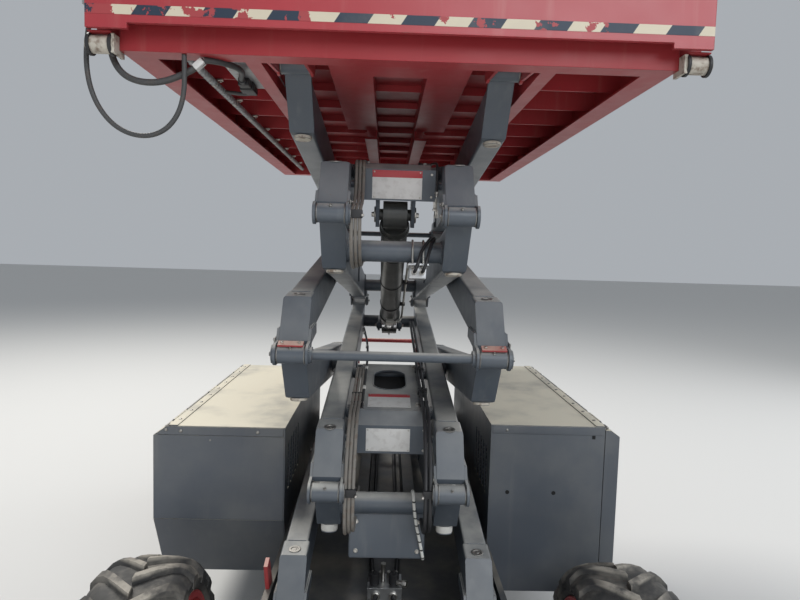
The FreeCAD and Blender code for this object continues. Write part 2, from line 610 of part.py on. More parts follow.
def build_cabinet(side_name, chamfered):
    """A hollow cabinet built on the +Y side; the right one is mirrored."""
    top = CABINET_TOP_Z[side_name]
    outline = cabinet_outline(chamfered, top)
    wall = CABINET_WALL
    shell = prism_xz(outline, RAIL_OUTER_Y, CABINET_OUTER_Y)
    shell = shell.cut(prism_xz(inset(outline, wall), RAIL_OUTER_Y + wall, CABINET_OUTER_Y + 1))
    for i in range(VENT_COUNT):
        x = at(CABINET_X[1] - VENT_FIRST - VENT_PITCH * i)
        slot = box((x - VENT_HALF, x + VENT_HALF), (RAIL_OUTER_Y - 1, RAIL_OUTER_Y + wall + 1), VENT_Z)
        shell = shell.cut(slot)
    axis_y, axis_z = CABINET_OUTER_Y + HINGE_OUT, top - HINGE_DROP
    pieces = [shell]
    door_top = top - DOOR_TOP_DROP
    door_outline = [(x, min(z, door_top)) for x, z in inset(outline, 2)]
    y0, y1 = CABINET_OUTER_Y + DOOR_GAP, CABINET_OUTER_Y + DOOR_GAP + DOOR_DEPTH
    door = prism_xz(door_outline, y0, y1).cut(prism_xz(inset(door_outline, wall), y0 - 1, y1 - wall))
    cut_y, cut_z = DOOR_CHAMFER
    xs = (at(CABINET_X[0]), at(CABINET_X[1]))
    slant = [(y1 - cut_y, door_top), (y1, door_top - cut_z)]
    backing = prism_yz([(y - 6, z - 6) for y, z in slant] + [slant[1], slant[0]], xs[0] + 2, xs[1] - 2)
    door = door.fuse(backing).cut(prism_yz(slant + [(y1 + 1, door_top - cut_z), (y1 + 1, door_top + 1),
                                                    (y1 - cut_y, door_top + 1)], xs[0], xs[1]))
    door_pieces = [door]
    span = CABINET_X[1] - CABINET_X[0]
    for share in (0.12, 0.5, 0.88):
        x = at(CABINET_X[0] + share * span)
        for offset in (-62, 22):
            leaf_xs = (x + offset, x + offset + 40)
            pieces.append(rod_x(axis_y, axis_z, HINGE_RADIUS, *leaf_xs))
            pieces.append(box(leaf_xs, (CABINET_OUTER_Y - 1, axis_y), (axis_z - 1.5, axis_z + 1.5)))
        pieces.append(rod_x(axis_y, axis_z, HINGE_PIN_RADIUS, x - 24, x + 24))
        leaf = rod_x(axis_y, axis_z, HINGE_RADIUS, x - 20, x + 20)
        leaf = leaf.fuse(box((x - 20, x + 20), (axis_y + 2, axis_y + 5), (door_top - 1, axis_z)))
        door_pieces.append(leaf.cut(rod_x(axis_y, axis_z, HINGE_PIN_RADIUS + RUNNING_GAP, x - 21, x + 21)))
    cabinet, door = fuse(pieces), fuse(door_pieces)
    if side_name == "right":
        cabinet, door = mirror_y(cabinet), mirror_y(door)
    keep("cabinet_" + side_name, [cabinet])
    keep("door_" + side_name, [door])


def build_contents():
    floor = CABINET_BOTTOM_Z + CABINET_WALL
    engine_xs, tank_xs = [tuple(at(x) for x in xs) for xs in (ENGINE_X, TANK_X)]
    keep("engine_block", [box(engine_xs, ENGINE_Y, (floor, floor + ENGINE_HEIGHT))])
    tank = box(tank_xs, TANK_Y, (floor, floor + TANK_HEIGHT))
    keep("oil_tank", [tank])


# Wheels, axles and knuckles

def revolve_y(profile, x, z):
    """Turn an outline of (radius, y) points about an axis along Y through x, z."""
    corners = [V(x + r, y, z) for r, y in profile]
    face = Part.Face(Part.makePolygon(corners + corners[:1]))
    return face.revolve(V(x, 0, z), V(0, 1, 0), 360)


def tread_point(x, angle, radius, y):
    return V(x + radius * math.cos(angle), y, WHEEL_RADIUS + radius * math.sin(angle))


def lug(x, turn, side):
    """One lug: from the tread's middle out over the shoulder, drawn as four cross-sections."""
    middle = TRACK_HALF_WIDTH
    sections = [
        # outwards from the middle, radius under, radius on top, share of the sweep
        (-6, -30, 0, 0.0),
        (62, -32, -4, 0.5),
        (112, -44, -18, 0.9),
        (146, -84, -46, 1.0),
    ]
    reach = sections[-1][0]
    rings = []
    for out, under, top, share in sections:
        along = max(out, 0) / reach
        half = (LUG_WIDTH[0] + (LUG_WIDTH[1] - LUG_WIDTH[0]) * along) / 2 / WHEEL_RADIUS
        angle = turn + math.radians(LUG_SWEEP) * share
        y = middle + side * out
        rings.append([tread_point(x, angle - half, WHEEL_RADIUS + under, y),
                      tread_point(x, angle + half, WHEEL_RADIUS + under, y),
                      tread_point(x, angle + half, WHEEL_RADIUS + top, y),
                      tread_point(x, angle - half, WHEEL_RADIUS + top, y)])
    corners = []
    for near, far in zip(rings, rings[1:]):
        for a, b in ((0, 1), (1, 2), (2, 3), (3, 0)):
            corners += [(near[a], near[b], far[b]), (near[a], far[b], far[a])]
    for ring in (rings[0], rings[-1]):
        corners += [(ring[0], ring[1], ring[2]), (ring[0], ring[2], ring[3])]
    faces = [Part.Face(Part.makePolygon([a, b, c, a])) for a, b, c in corners]
    solid = Part.Solid(Part.Shell(faces))
    if solid.Volume < 0:
        solid.reverse()
    return solid


def tyre_casing(x):
    y0, y1 = TRACK_HALF_WIDTH - TYRE_WIDTH / 2, TRACK_HALF_WIDTH + TYRE_WIDTH / 2
    tread = WHEEL_RADIUS - LUG_HEIGHT
    return revolve_y([
        # radius, y
        (RIM_RADIUS, y0 + 30), (RIM_RADIUS + 20, y0 + 8), (RIM_RADIUS + 52, y0),
        (tread - 42, y0 + 5), (tread - 14, y0 + 36), (tread, y0 + 90),
        (tread, y1 - 90), (tread - 14, y1 - 36), (tread - 42, y1 - 5),
        (RIM_RADIUS + 52, y1), (RIM_RADIUS + 20, y1 - 8), (RIM_RADIUS, y1 - 30),
    ], x, WHEEL_RADIUS)


def wheel(x):
    y0, y1 = TRACK_HALF_WIDTH - TYRE_WIDTH / 2, TRACK_HALF_WIDTH + TYRE_WIDTH / 2
    pitch = 2 * math.pi / LUG_COUNT
    lugs = []
    for i in range(LUG_COUNT):
        # an edge of the first lug points straight down, so that the tyre stands on it
        turn = -math.pi / 2 + LUG_WIDTH[0] / 2 / WHEEL_RADIUS + pitch * i
        lugs.append(lug(x, turn, 1))
        lugs.append(lug(x, turn + pitch / 2, -1))
    tyre = tyre_casing(x).multiFuse(lugs)
    disc = TRACK_HALF_WIDTH + 25
    rim = revolve_y([
        (RIM_RADIUS - 8, y0 + 12), (RIM_RADIUS + 14, y0 + 12), (RIM_RADIUS + 14, y0 + 17),
        (RIM_RADIUS, y0 + 30), (RIM_RADIUS, y1 - 30),
        (RIM_RADIUS + 14, y1 - 17), (RIM_RADIUS + 14, y1 - 12), (RIM_RADIUS - 8, y1 - 12),
        (RIM_RADIUS - 8, disc + 12), (120, disc + 22), (95, disc + 40), (SPINDLE_RADIUS + RUNNING_GAP, disc + 40),
        (SPINDLE_RADIUS + RUNNING_GAP, disc), (80, disc), (110, disc + 8), (RIM_RADIUS - 16, disc),
        (RIM_RADIUS - 8, disc - 12),
    ], x, WHEEL_RADIUS)
    overlap = tyre.common(rim)
    if overlap.Volume > 0:
        tyre = tyre.cut(rim)
    return tyre, rim


def build_wheels():
    for end, x in (("front", FRONT_AXLE_X), ("rear", FRONT_AXLE_X - WHEELBASE)):
        tyre, rim = wheel(at(x))
        for side in ("left", "right"):
            pair = (tyre, rim) if side == "left" else (mirror_y(tyre), mirror_y(rim))
            keep("tyre_%s_%s" % (end, side), [pair[0]])
            keep("rim_%s_%s" % (end, side), [pair[1]])


def build_axles():
    x = at(FRONT_AXLE_X)
    z = WHEEL_RADIUS
    spindle_end = TRACK_HALF_WIDTH + 25 + 40
    beam = [box((x - AXLE_HALF, x + AXLE_HALF), (-575, 575), AXLE_Z)]
    for side in (1, -1):
        back = box((x - AXLE_HALF, x + AXLE_HALF), sorted((side * 560, side * 590)), (z - 75, z + 75))
        beam.append(back)
        for z0 in (z - 75, z + 60):
            beam.append(box((x - 35, x + 35), sorted((side * 585, side * 660)), (z0, z0 + 15)))
            beam.append(rod_z(x, side * KINGPIN_Y, 35, z0, z0 + 15))
    beam.append(rod_y(x - 85, z - 10, 26, -210, 210))
    beam.append(rod_y(x - 85, z - 10, 12, -330, 330))
    for side in (1, -1):
        beam.append(box((x - 105, x - AXLE_HALF + 1), sorted((side * 150, side * 180)), (z - 36, z + 16)))
    axle = fuse(beam)
    for side in (1, -1):
        axle = axle.cut(rod_z(x, side * KINGPIN_Y, 15 + RUNNING_GAP, z - 80, z + 80))
    keep("front_axle", [axle])
    knuckle = fuse([rod_z(x, KINGPIN_Y, 15, z - 82, z + 82),
                    rod_z(x, KINGPIN_Y, 34, z - 59, z + 59),
                    rod_y(x, z, 55, KINGPIN_Y + 10, TRACK_HALF_WIDTH + 18),
                    rod_y(x, z, SPINDLE_RADIUS, KINGPIN_Y, spindle_end + 4),
                    rod_y(x, z, SPINDLE_RADIUS + 12, spindle_end + 1, spindle_end + 9)])
    keep("knuckle_left", [knuckle])
    keep("knuckle_right", [mirror_y(knuckle)])
    x = at(FRONT_AXLE_X - WHEELBASE)
    rear = [box((x - AXLE_HALF, x + AXLE_HALF), (-600, 600), AXLE_Z)]
    hub = fuse([rod_y(x, z, 75, 590, 690), rod_y(x, z, 55, 690, TRACK_HALF_WIDTH + 18),
                rod_y(x, z, SPINDLE_RADIUS, 690, spindle_end + 4),
                rod_y(x, z, SPINDLE_RADIUS + 12, spindle_end + 1, spindle_end + 9)])
    keep("rear_axle", [fuse(rear + both_sides(hub))])


# Platform

def build_platform_frame():
    x0, x1 = at(PLATFORM_X[0]), at(PLATFORM_X[1])
    z0, z1 = FRAME_BOTTOM_Z, DECK_Z
    side = channel_rail((x0, x1), (z0, z1), FRAME_HALF_WIDTH, FRAME_HALF_WIDTH - SIDE_FLANGE,
                        FRAME_WALL, FRAME_WALL)
    pieces = side + [mirror_y(piece) for piece in side]
    across = (-FRAME_HALF_WIDTH + 1, FRAME_HALF_WIDTH - 1)
    pieces.append(box((x1 - BEAM_WIDTH, x1), across, (z0, z1)))
    pieces.append(box((x0, x0 + BEAM_WIDTH), across, (z0, z1)))
    inner = (RAIL_INNER_Y, RAIL_INNER_Y + INNER_RAIL_WIDTH)
    pieces += both_sides(box((x0 + 1, x1 - 1), inner, (z0, z1)))
    pieces += tracks(TOP_PIN_Z, (at(TRACK_X[0]), at(TRACK_X[1])))
    panel_xs = (at(TRACK_X[1]) - 1, x1 - BEAM_WIDTH + 1)
    under_z = (UNDER_PANEL_Z, UNDER_PANEL_Z + FRAME_WALL)
    pieces += both_sides(box(panel_xs, UNDER_PANEL_Y, under_z))
    pieces.append(box((UNDER_PLATE_X, panel_xs[1]), (-UNDER_PANEL_Y[0] - 1, UNDER_PANEL_Y[0] + 1), under_z))
    for y in UNDER_PANEL_Y:
        inward = FRAME_WALL if y < 100 else -FRAME_WALL
        pieces += both_sides(box(panel_xs, sorted((y, y + inward)), (UNDER_PANEL_Z, z1)))
    for i in range(RIB_COUNT):
        x = at(RIB_FIRST_X - RIB_PITCH * i)
        xs = (x - FRAME_WALL, x)
        pieces.append(box(xs, (-FRAME_HALF_WIDTH + 1, FRAME_HALF_WIDTH - 1),
                          (TOP_PIN_Z + TRACK_HALF + TRACK_FLANGE - 1, z1)))
        pieces += both_sides(box(xs, (inner[1] - 1, FRAME_HALF_WIDTH - 1), (z0 + 40, z1)))
        pieces += both_sides(box(xs, (TRACK_OUTER_Y + 10, inner[0] + 1), (TOP_PIN_Z + 35, z1)))
    beam_back = x1 - BEAM_WIDTH
    outline = [(PIN_X - EAR_RADIUS, TOP_PIN_Z), (PIN_X - EAR_RADIUS, z1), (beam_back + 1, z1),
               (beam_back + 1, z0), (PIN_X + 26, TOP_PIN_Z - 30)]
    for inner_face in (-EAR_OUTER, CAP_HALF):
        y0 = OUTER_Y + inner_face
        ear = prism_xz(outline, y0, y0 + EAR_THICKNESS).fuse(
            rod_y(PIN_X, TOP_PIN_Z, EAR_RADIUS, y0, y0 + EAR_THICKNESS))
        pieces += both_sides(ear)
    pieces += both_sides(rod_y(PIN_X, TOP_PIN_Z, PIN_RADIUS, OUTER_Y - EAR_OUTER, OUTER_Y + EAR_OUTER))
    keep("platform_frame", [fuse(pieces)])


def build_deck():
    x0, x1 = at(PLATFORM_X[0]), at(PLATFORM_X[1])
    top = DECK_Z + DECK_THICKNESS
    pieces = [box((x0, x1), (-DECK_HALF_WIDTH, DECK_HALF_WIDTH), (DECK_Z, top))]
    board = box((x0, x1), (DECK_HALF_WIDTH - 3, DECK_HALF_WIDTH), (DECK_Z, top + TOE_HEIGHT))
    pieces += both_sides(board)
    rear = box((x0, x0 + 3), (GATE_HALF + 20, DECK_HALF_WIDTH), (DECK_Z, top + TOE_HEIGHT))
    pieces += both_sides(rear)
    keep("main_deck", [fuse(pieces)])


def upright(x, y, z0, radius):
    return rod_z(x, y, radius, z0, GUARD_TOP_Z)


def rail_x(x0, x1, y, z, radius):
    return rod_x(y, z, radius, x0, x1)


def build_guard_rails():
    z0 = DECK_Z + DECK_THICKNESS
    back, front = at(GUARD_X[0]), at(GUARD_X[1])
    middle = (front + back) / 2
    r = GUARD_RADIUS
    side = [upright(x, GUARD_Y, z0, r) for x in (front, middle, back)]
    for z in (GUARD_TOP_Z, GUARD_MID_Z):
        side.append(rail_x(back, front, GUARD_Y, z, r))
        side.append(rod_y(back, z, r, GATE_HALF + 20, GUARD_Y))
    for x in (front, back):
        side.append(Part.makeSphere(r, V(x, GUARD_Y, GUARD_TOP_Z)))
    side.append(upright(back, GATE_HALF + 20, z0, r))
    side.append(Part.makeSphere(r, V(back, GATE_HALF + 20, GUARD_TOP_Z)))
    left, right = fuse(side), mirror_y(fuse(side))
    hinge_y = GATE_HALF - GATE_INSET
    for z in GATE_HINGE_Z:
        ring = rod_z(back, hinge_y, EXT_GUARD_RADIUS + 9, z, z + 22)
        arm_box = box((back - 8, back + 8), (hinge_y, GATE_HALF + 10), (z, z + 22))
        left = left.fuse(ring.fuse(arm_box)).cut(
            rod_z(back, hinge_y, EXT_GUARD_RADIUS + RUNNING_GAP, z - 1, z + 23))
    keep("guard_rails", [left, right])


def build_gate():
    r = EXT_GUARD_RADIUS
    x = at(GUARD_X[0])
    hinge_y, free_y = GATE_HALF - GATE_INSET, -GATE_HALF + GATE_INSET
    bottom, top = DECK_Z + 190, GUARD_TOP_Z - 10
    pieces = [rod_z(x, hinge_y, r, bottom, top), rod_z(x, free_y, r, bottom, top)]
    for z in (bottom, GUARD_MID_Z, top):
        pieces.append(rod_y(x, z, r, free_y, hinge_y))
    for y in (hinge_y, free_y):
        for z in (bottom, top):
            pieces.append(Part.makeSphere(r, V(x, y, z)))
    keep("gate", [fuse(pieces)])


def build_extension():
    x0, x1 = at(EXT_DECK_X[0]), at(EXT_DECK_X[1])
    plate = box((x0, x1), (-EXT_DECK_HALF, EXT_DECK_HALF), (EXT_DECK_Z, EXT_DECK_Z + 6))
    low = DECK_Z + DECK_THICKNESS + SEAT_GAP
    runner = box((x0, x1), (EXT_DECK_HALF - 40, EXT_DECK_HALF), (low, EXT_DECK_Z + 1))
    skirt = box((x0, x1), (EXT_DECK_HALF - 3, EXT_DECK_HALF), (low, EXT_DECK_Z + 100))
    lip = box((at(EXT_LIP_X), x1), (-EXT_DECK_HALF, EXT_DECK_HALF), (low, EXT_DECK_Z + 1))
    keep("extension_deck", [fuse([plate, lip] + both_sides(runner) + both_sides(skirt))])
    panel_xs = (x1, x1 + PANEL_THICKNESS)
    panel = box(panel_xs, (-PANEL_HALF, PANEL_HALF), PANEL_Z)
    lip_z = (PANEL_Z[0] - PANEL_LIP_DROP, PANEL_Z[0] + 40)
    lips = both_sides(box(panel_xs, (PANEL_HALF - PANEL_LIP_WIDTH, PANEL_HALF), lip_z))
    keep("front_panel", [fuse([panel] + lips)])


def build_extension_rails():
    z0 = EXT_DECK_Z + 6
    back, front = at(EXT_GUARD_X[0]), at(EXT_GUARD_X[1])
    middle = (front + back) / 2
    r = EXT_GUARD_RADIUS
    y = EXT_GUARD_Y
    pieces = []
    for side in (1, -1):
        for x in (front, middle, back):
            pieces.append(upright(x, side * y, z0, r))
            pieces.append(Part.makeSphere(r, V(x, side * y, GUARD_TOP_Z)))
        for z in (GUARD_TOP_Z, GUARD_MID_Z):
            pieces.append(rail_x(back, front, side * y, z, r))
    for z in (GUARD_TOP_Z, GUARD_MID_Z):
        pieces.append(rod_y(front, z, r, -y, y))
    keep("extension_rails", [fuse(pieces)])
    box_x = front - r
    back_x, top, bottom = box_x - 0.3, GUARD_TOP_Z - 30, GUARD_TOP_Z - 270
    body = prism_xz([(back_x, top), (back_x, bottom), (box_x - 130, bottom), (box_x - 150, bottom + 60),
                     (box_x - 90, top)], *CONTROL_BOX_Y)
    strap_ys = (CONTROL_BOX_Y[0] + 40, CONTROL_BOX_Y[1] - 40)
    hooks = [box((box_x - 20, front + r + 6), (y - 12, y + 12), (GUARD_TOP_Z + r + 0.3, GUARD_TOP_Z + r + 6))
             for y in strap_ys]
    straps = [box((box_x - 20, box_x - 5), (y - 12, y + 12), (GUARD_TOP_Z - 40, GUARD_TOP_Z + r + 6))
              for y in strap_ys]
    keep("control_box", [fuse([body] + hooks + straps)])


def build_nose_rollers():
    x, z = at(NOSE_ROLLER_X), NOSE_ROLLER_Z
    bracket = box((at(PLATFORM_X[1]) - 30, x + 18),
                  (FRAME_HALF_WIDTH + SEAT_GAP, FRAME_HALF_WIDTH + 8), (z - 22, z + 22))
    drum = rod_y(x, z, NOSE_ROLLER_RADIUS, FRAME_HALF_WIDTH + 8, FRAME_HALF_WIDTH + 64)
    cap = rod_y(x, z, 15, FRAME_HALF_WIDTH + 64, FRAME_HALF_WIDTH + 72)
    keep("nose_rollers", both_sides(fuse([bracket, drum, cap])))


def cord_point(x, y, z):
    return V(at(x), y - DECK_HALF_WIDTH, DECK_Z + z)


def cord_tube(points, diameter):
    """Straight runs joined by tangent arcs, each as large as its two runs allow."""
    corners = [cord_point(*point) for point in points]
    edges, radii = [], []
    start = corners[0]
    for before, corner, after in zip(corners, corners[1:], corners[2:]):
        come, go = (before - corner), (after - corner)
        run = min(come.Length, go.Length)
        come.normalize()
        go.normalize()
        turn = math.pi - come.getAngle(go)
        cut = 0.45 * run
        radii.append(cut / math.tan(turn / 2))
        first, last = corner + come * cut, corner + go * cut
        bisector = come + go
        bisector.normalize()
        middle = corner + bisector * (radii[-1] / math.cos(turn / 2) - radii[-1])
        edges.append(Part.LineSegment(start, first).toShape())
        edges.append(Part.Arc(first, middle, last).toShape())
        start = last
    edges.append(Part.LineSegment(start, corners[-1]).toShape())
    path = Part.Wire(edges)
    ring = Part.Wire([Part.makeCircle(diameter / 2, corners[0], corners[1] - corners[0])])
    tube = path.makePipeShell([ring], True, False)
    expected = math.pi * diameter ** 2 / 4 * path.Length
    print("cord length", round(path.Length, 1), "radii", [round(r) for r in radii],
          "volume ratio", round(tube.Volume / expected, 4))
    return tube


# Routes of the two loops that hang below the platform's front right corner: x, y from the deck's right
# edge, z from its underside
CABLE_A = [
    (192, -14, 2), (192, -17, -46), (193, -23, -94), (195, -22, -144), (197, -12, -194), (198, 9, -240),
    (199, 42, -278), (200, 84, -300), (201, 130, -304), (201, 171, -287), (200, 199, -252),
    (199, 213, -207), (199, 216, -158), (198, 214, -106),
]
CABLE_B = [
    (172, 27, -26), (173, 24, -74), (176, 34, -119), (180, 58, -152), (183, 92, -168), (185, 131, -172),
    (184, 169, -165), (182, 205, -149), (181, 239, -130), (180, 258, -112),
]
CABLE_A_DIAMETER = 12.0
CABLE_B_DIAMETER = 16.0


def build_cables():
    keep("cable_a", [cord_tube(CABLE_A, CABLE_A_DIAMETER)])
    keep("cable_b", [cord_tube(CABLE_B, CABLE_B_DIAMETER)])
    x, y, z = cord_point(*CABLE_A[0])
    upper = box((x - 14, x + 14), (y - 12, -DECK_HALF_WIDTH), (z + 0.4, z + 34))
    x, y, z = cord_point(*CABLE_B[0])
    under = rod_z(x, y, 13, z + 0.55, DECK_Z)
    keep("cable_glands", [upper, under])


def build_all():
    build_scissors()
    build_cylinder()
    build_chassis()
    build_ladder()
    build_cabinet("left", False)
    build_cabinet("right", True)
    build_contents()
    build_wheels()
    build_axles()
    build_platform_frame()
    build_deck()
    build_guard_rails()
    build_gate()
    build_extension()
    build_extension_rails()
    build_nose_rollers()
    build_cables()


build_all()
os.makedirs("parts", exist_ok=True)
for node, shape in shapes.items():
    if not shape.isValid():
        print("not valid:", node)
    shape.exportStep("parts/%s.step" % node)
print(len(shapes), "nodes")
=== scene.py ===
import bpy
import bmesh
import json
from math import asin, atan2, cos, pi, radians, sin, sqrt
from mathutils import Matrix, Vector


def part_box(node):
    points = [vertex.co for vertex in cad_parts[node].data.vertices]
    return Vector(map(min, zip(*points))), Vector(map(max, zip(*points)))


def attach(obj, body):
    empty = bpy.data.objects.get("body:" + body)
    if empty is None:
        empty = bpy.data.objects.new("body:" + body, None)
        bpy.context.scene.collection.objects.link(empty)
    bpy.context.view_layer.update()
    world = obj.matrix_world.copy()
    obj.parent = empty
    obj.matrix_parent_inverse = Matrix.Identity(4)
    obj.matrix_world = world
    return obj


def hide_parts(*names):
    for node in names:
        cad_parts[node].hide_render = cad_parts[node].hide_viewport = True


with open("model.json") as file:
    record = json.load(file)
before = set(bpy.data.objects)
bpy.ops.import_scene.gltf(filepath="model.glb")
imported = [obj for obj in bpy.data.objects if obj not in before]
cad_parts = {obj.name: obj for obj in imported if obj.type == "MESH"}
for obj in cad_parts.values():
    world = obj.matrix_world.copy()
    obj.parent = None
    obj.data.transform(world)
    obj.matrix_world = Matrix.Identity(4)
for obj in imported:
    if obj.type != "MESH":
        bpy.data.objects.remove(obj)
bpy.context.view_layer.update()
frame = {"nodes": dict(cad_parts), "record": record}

# Sizes shared with the model, in metres
PIN_X = 1.05
ARM_LENGTH = 2.05
PIN_OFFSET = 0.08
LEVEL_RISE = 0.4018
BASE_PIN_Z = 0.4965
INNER_Y = 0.183
OUTER_Y = 0.2875
HALF_TUBE = 0.0635
TUBE_HALF_WIDTH = 0.037
CAP_HALF = 0.042
EAR_OUTER = 0.05
PIN_HEAD = 0.005
PLATE_TOP = PIN_OFFSET + HALF_TUBE
CYL_BASE = (1.744, 0.08)      # span and rise on the lower inner arms
CYL_TIP = (0.33, -0.02)      # span and rise on the upper inner arms
WHEEL_RADIUS = 0.32
WHEEL_MIDDLE_Y = 0.73
AXLE_X = {"front": 1.000, "rear": -1.000}
TREAD_RADIUS = 0.3
RIM_RADIUS = 0.205
TYRE_HALF = 0.145
LUG_COUNT = 17
LUG_SWEEP = radians(19)
LIFT_ANGLE = asin(LEVEL_RISE / ARM_LENGTH)
TUBE_TILT = LIFT_ANGLE - asin(2 * PIN_OFFSET / ARM_LENGTH)
HALF_SPAN = sqrt(ARM_LENGTH ** 2 - 4 * PIN_OFFSET ** 2) / 2
FAR_X = PIN_X - ARM_LENGTH * cos(LIFT_ANGLE)
CENTRE_X = (PIN_X + FAR_X) / 2
INNER, OUTER = "inner", "outer"
MIDDLE = {INNER: INNER_Y, OUTER: OUTER_Y}
# direction of each arm pair by level: 1 rises towards the back, -1 towards the front
DIRECTION = {INNER: (-1, 1, -1, 1), OUTER: (1, -1, 1, -1)}


# Camera, at the photograph's viewing angle

def make_camera():
    yaw, pitch, roll = 0.0232, 0.0773, 0.0292
    look = Vector((-cos(pitch) * cos(yaw), cos(pitch) * sin(yaw), -sin(pitch)))
    right = look.cross(Vector((0, 0, 1))).normalized()
    up = right.cross(look)
    turned_right = cos(roll) * right + sin(roll) * up
    turned_up = -sin(roll) * right + cos(roll) * up
    data = bpy.data.cameras.new("camera")
    camera = bpy.data.objects.new("camera", data)
    bpy.context.collection.objects.link(camera)
    turn = Matrix((turned_right, turned_up, -look)).transposed().to_4x4()
    camera.matrix_world = Matrix.Translation((2.813, -0.024, 1.6)) @ turn
    data.sensor_width = 36
    data.lens = 28.09
    data.clip_start = 0.02
    bpy.context.scene.camera = camera


def area_light(name, place, target, size, power, colour=(1, 1, 1)):
    data = bpy.data.lights.new(name, "AREA")
    data.shape = "DISK"
    data.size = size
    data.energy = power
    data.color = colour
    lamp = bpy.data.objects.new(name, data)
    bpy.context.collection.objects.link(lamp)
    lamp.location = place
    lamp.rotation_euler = (Vector(target) - Vector(place)).to_track_quat("-Z", "Y").to_euler()


def make_studio():
    bpy.context.scene.view_settings.view_transform = "Standard"
    world = bpy.data.worlds.new("studio")
    world.use_nodes = True
    back = world.node_tree.nodes["Background"]
    back.inputs["Color"].default_value = (0.86, 0.91, 0.97, 1)
    back.inputs["Strength"].default_value = 0.46
    bpy.context.scene.world = world
    area_light("key", (-4.2, -3.6, 8.5), (0, 0, 1.0), 3.2, 820, (1.0, 0.97, 0.92))
    area_light("fill", (6.5, 2.5, 5.0), (0, 0, 1.3), 5.0, 260, (0.94, 0.97, 1.0))
    area_light("low", (4.5, -1.0, 0.5), (0.5, 0, 2.0), 3.0, 26, (1.0, 0.97, 0.94))
    area_light("side", (-2.0, 7.0, 4.0), (0, 0, 1.4), 5.0, 170, (0.97, 0.98, 1.0))
    mesh = bpy.data.meshes.new("floor")
    mesh.from_pydata([(-40, -40, 0), (40, -40, 0), (40, 40, 0), (-40, 40, 0)], [], [(0, 1, 2, 3)])
    floor = bpy.data.objects.new("floor", mesh)
    bpy.context.collection.objects.link(floor)
    pale = Graph("floor_pale")
    pale.link(pale.plus(pale.times(pale.noise(30.0), 0.05), 0.8), pale.shader.inputs["Roughness"])
    mesh.materials.append(pale.set(Base_Color=(0.58, 0.58, 0.57)))


# Materials

class Graph:
    """Short names for building a node material."""

    def __init__(self, name):
        self.material = bpy.data.materials.new(name)
        self.material.use_nodes = True
        self.tree = self.material.node_tree
        self.shader = self.tree.nodes["Principled BSDF"]
        self.place = self.node("ShaderNodeTexCoord").outputs["Object"]
        self.normal = self.node("ShaderNodeNewGeometry").outputs["Normal"]

    def node(self, kind, **settings):
        made = self.tree.nodes.new(kind)
        for key, value in settings.items():
            setattr(made, key, value)
        return made

    def link(self, source, target):
        self.tree.links.new(source, target)

    def put(self, target, value):
        if isinstance(value, bpy.types.NodeSocket):
            self.link(value, target)
        elif isinstance(value, tuple) and len(value) == 3 and target.type == "RGBA":
            target.default_value = (*value, 1)
        else:
            target.default_value = value

    def math(self, operation, a, b=0.0, clamp=False):
        made = self.node("ShaderNodeMath", operation=operation, use_clamp=clamp)
        self.put(made.inputs[0], a)
        self.put(made.inputs[1], b)
        return made.outputs[0]

    def times(self, a, b):
        return self.math("MULTIPLY", a, b)

    def plus(self, a, b, clamp=False):
        return self.math("ADD", a, b, clamp)

    def mix(self, share, a, b):
        made = self.node("ShaderNodeMix", data_type="RGBA")
        self.put(made.inputs[0], share)
        self.put(made.inputs[6], a)
        self.put(made.inputs[7], b)
        return made.outputs[2]

    def scaled(self, scale):
        made = self.node("ShaderNodeMapping")
        made.inputs["Scale"].default_value = scale
        self.link(self.place, made.inputs["Vector"])
        return made.outputs["Vector"]

    def noise(self, scale, detail=4.0, stretch=None, rough=0.55):
        made = self.node("ShaderNodeTexNoise")
        made.inputs["Scale"].default_value = scale
        made.inputs["Detail"].default_value = detail
        made.inputs["Roughness"].default_value = rough
        self.link(self.scaled(stretch) if stretch else self.place, made.inputs["Vector"])
        return made.outputs["Fac"]

    def band(self, value, low, high):
        """0 below low, 1 above high, smooth between."""
        made = self.node("ShaderNodeMapRange", interpolation_type="SMOOTHSTEP")
        self.put(made.inputs["Value"], value)
        made.inputs["From Min"].default_value = low
        made.inputs["From Max"].default_value = high
        return made.outputs["Result"]

    def axis(self, vector, name):
        made = self.node("ShaderNodeSeparateXYZ")
        self.link(vector, made.inputs[0])
        return made.outputs[name]

    def bump(self, height, strength, distance, rounded=0.0):
        made = self.node("ShaderNodeBump")
        made.inputs["Strength"].default_value = strength
        made.inputs["Distance"].default_value = distance
        self.put(made.inputs["Height"], height)
        if rounded:
            soft = self.node("ShaderNodeBevel", samples=4)
            soft.inputs["Radius"].default_value = rounded
            self.link(soft.outputs["Normal"], made.inputs["Normal"])
        self.link(made.outputs["Normal"], self.shader.inputs["Normal"])

    def edge(self, radius):
        """Near 1 along edges."""
        soft = self.node("ShaderNodeBevel", samples=4)
        soft.inputs["Radius"].default_value = radius
        dot = self.node("ShaderNodeVectorMath", operation="DOT_PRODUCT")
        self.link(soft.outputs["Normal"], dot.inputs[0])
        self.link(self.normal, dot.inputs[1])
        return self.band(dot.outputs["Value"], 0.995, 0.9)

    def set(self, **values):
        for key, value in values.items():
            self.put(self.shader.inputs[key.replace("_", " ")], value)
        return self.material


def plain(name, colour, rough, metal=0.0, grain=0.0, scale=300.0, dirt=0.0):
    g = Graph(name)
    shade = g.noise(6.0)
    dark = tuple(c * 0.86 for c in colour)
    base = g.mix(g.band(shade, 0.3, 0.7), dark, colour)
    if dirt:
        base = g.mix(g.times(g.band(g.noise(45.0, 6.0), 0.48, 0.66), dirt), base, (0.13, 0.075, 0.045))
    g.set(Base_Color=base, Metallic=metal)
    g.link(g.plus(g.times(g.noise(40.0), 0.16), rough - 0.08), g.shader.inputs["Roughness"])
    if grain:
        g.bump(g.noise(scale, 2.0), 0.5, grain)
    return g.material


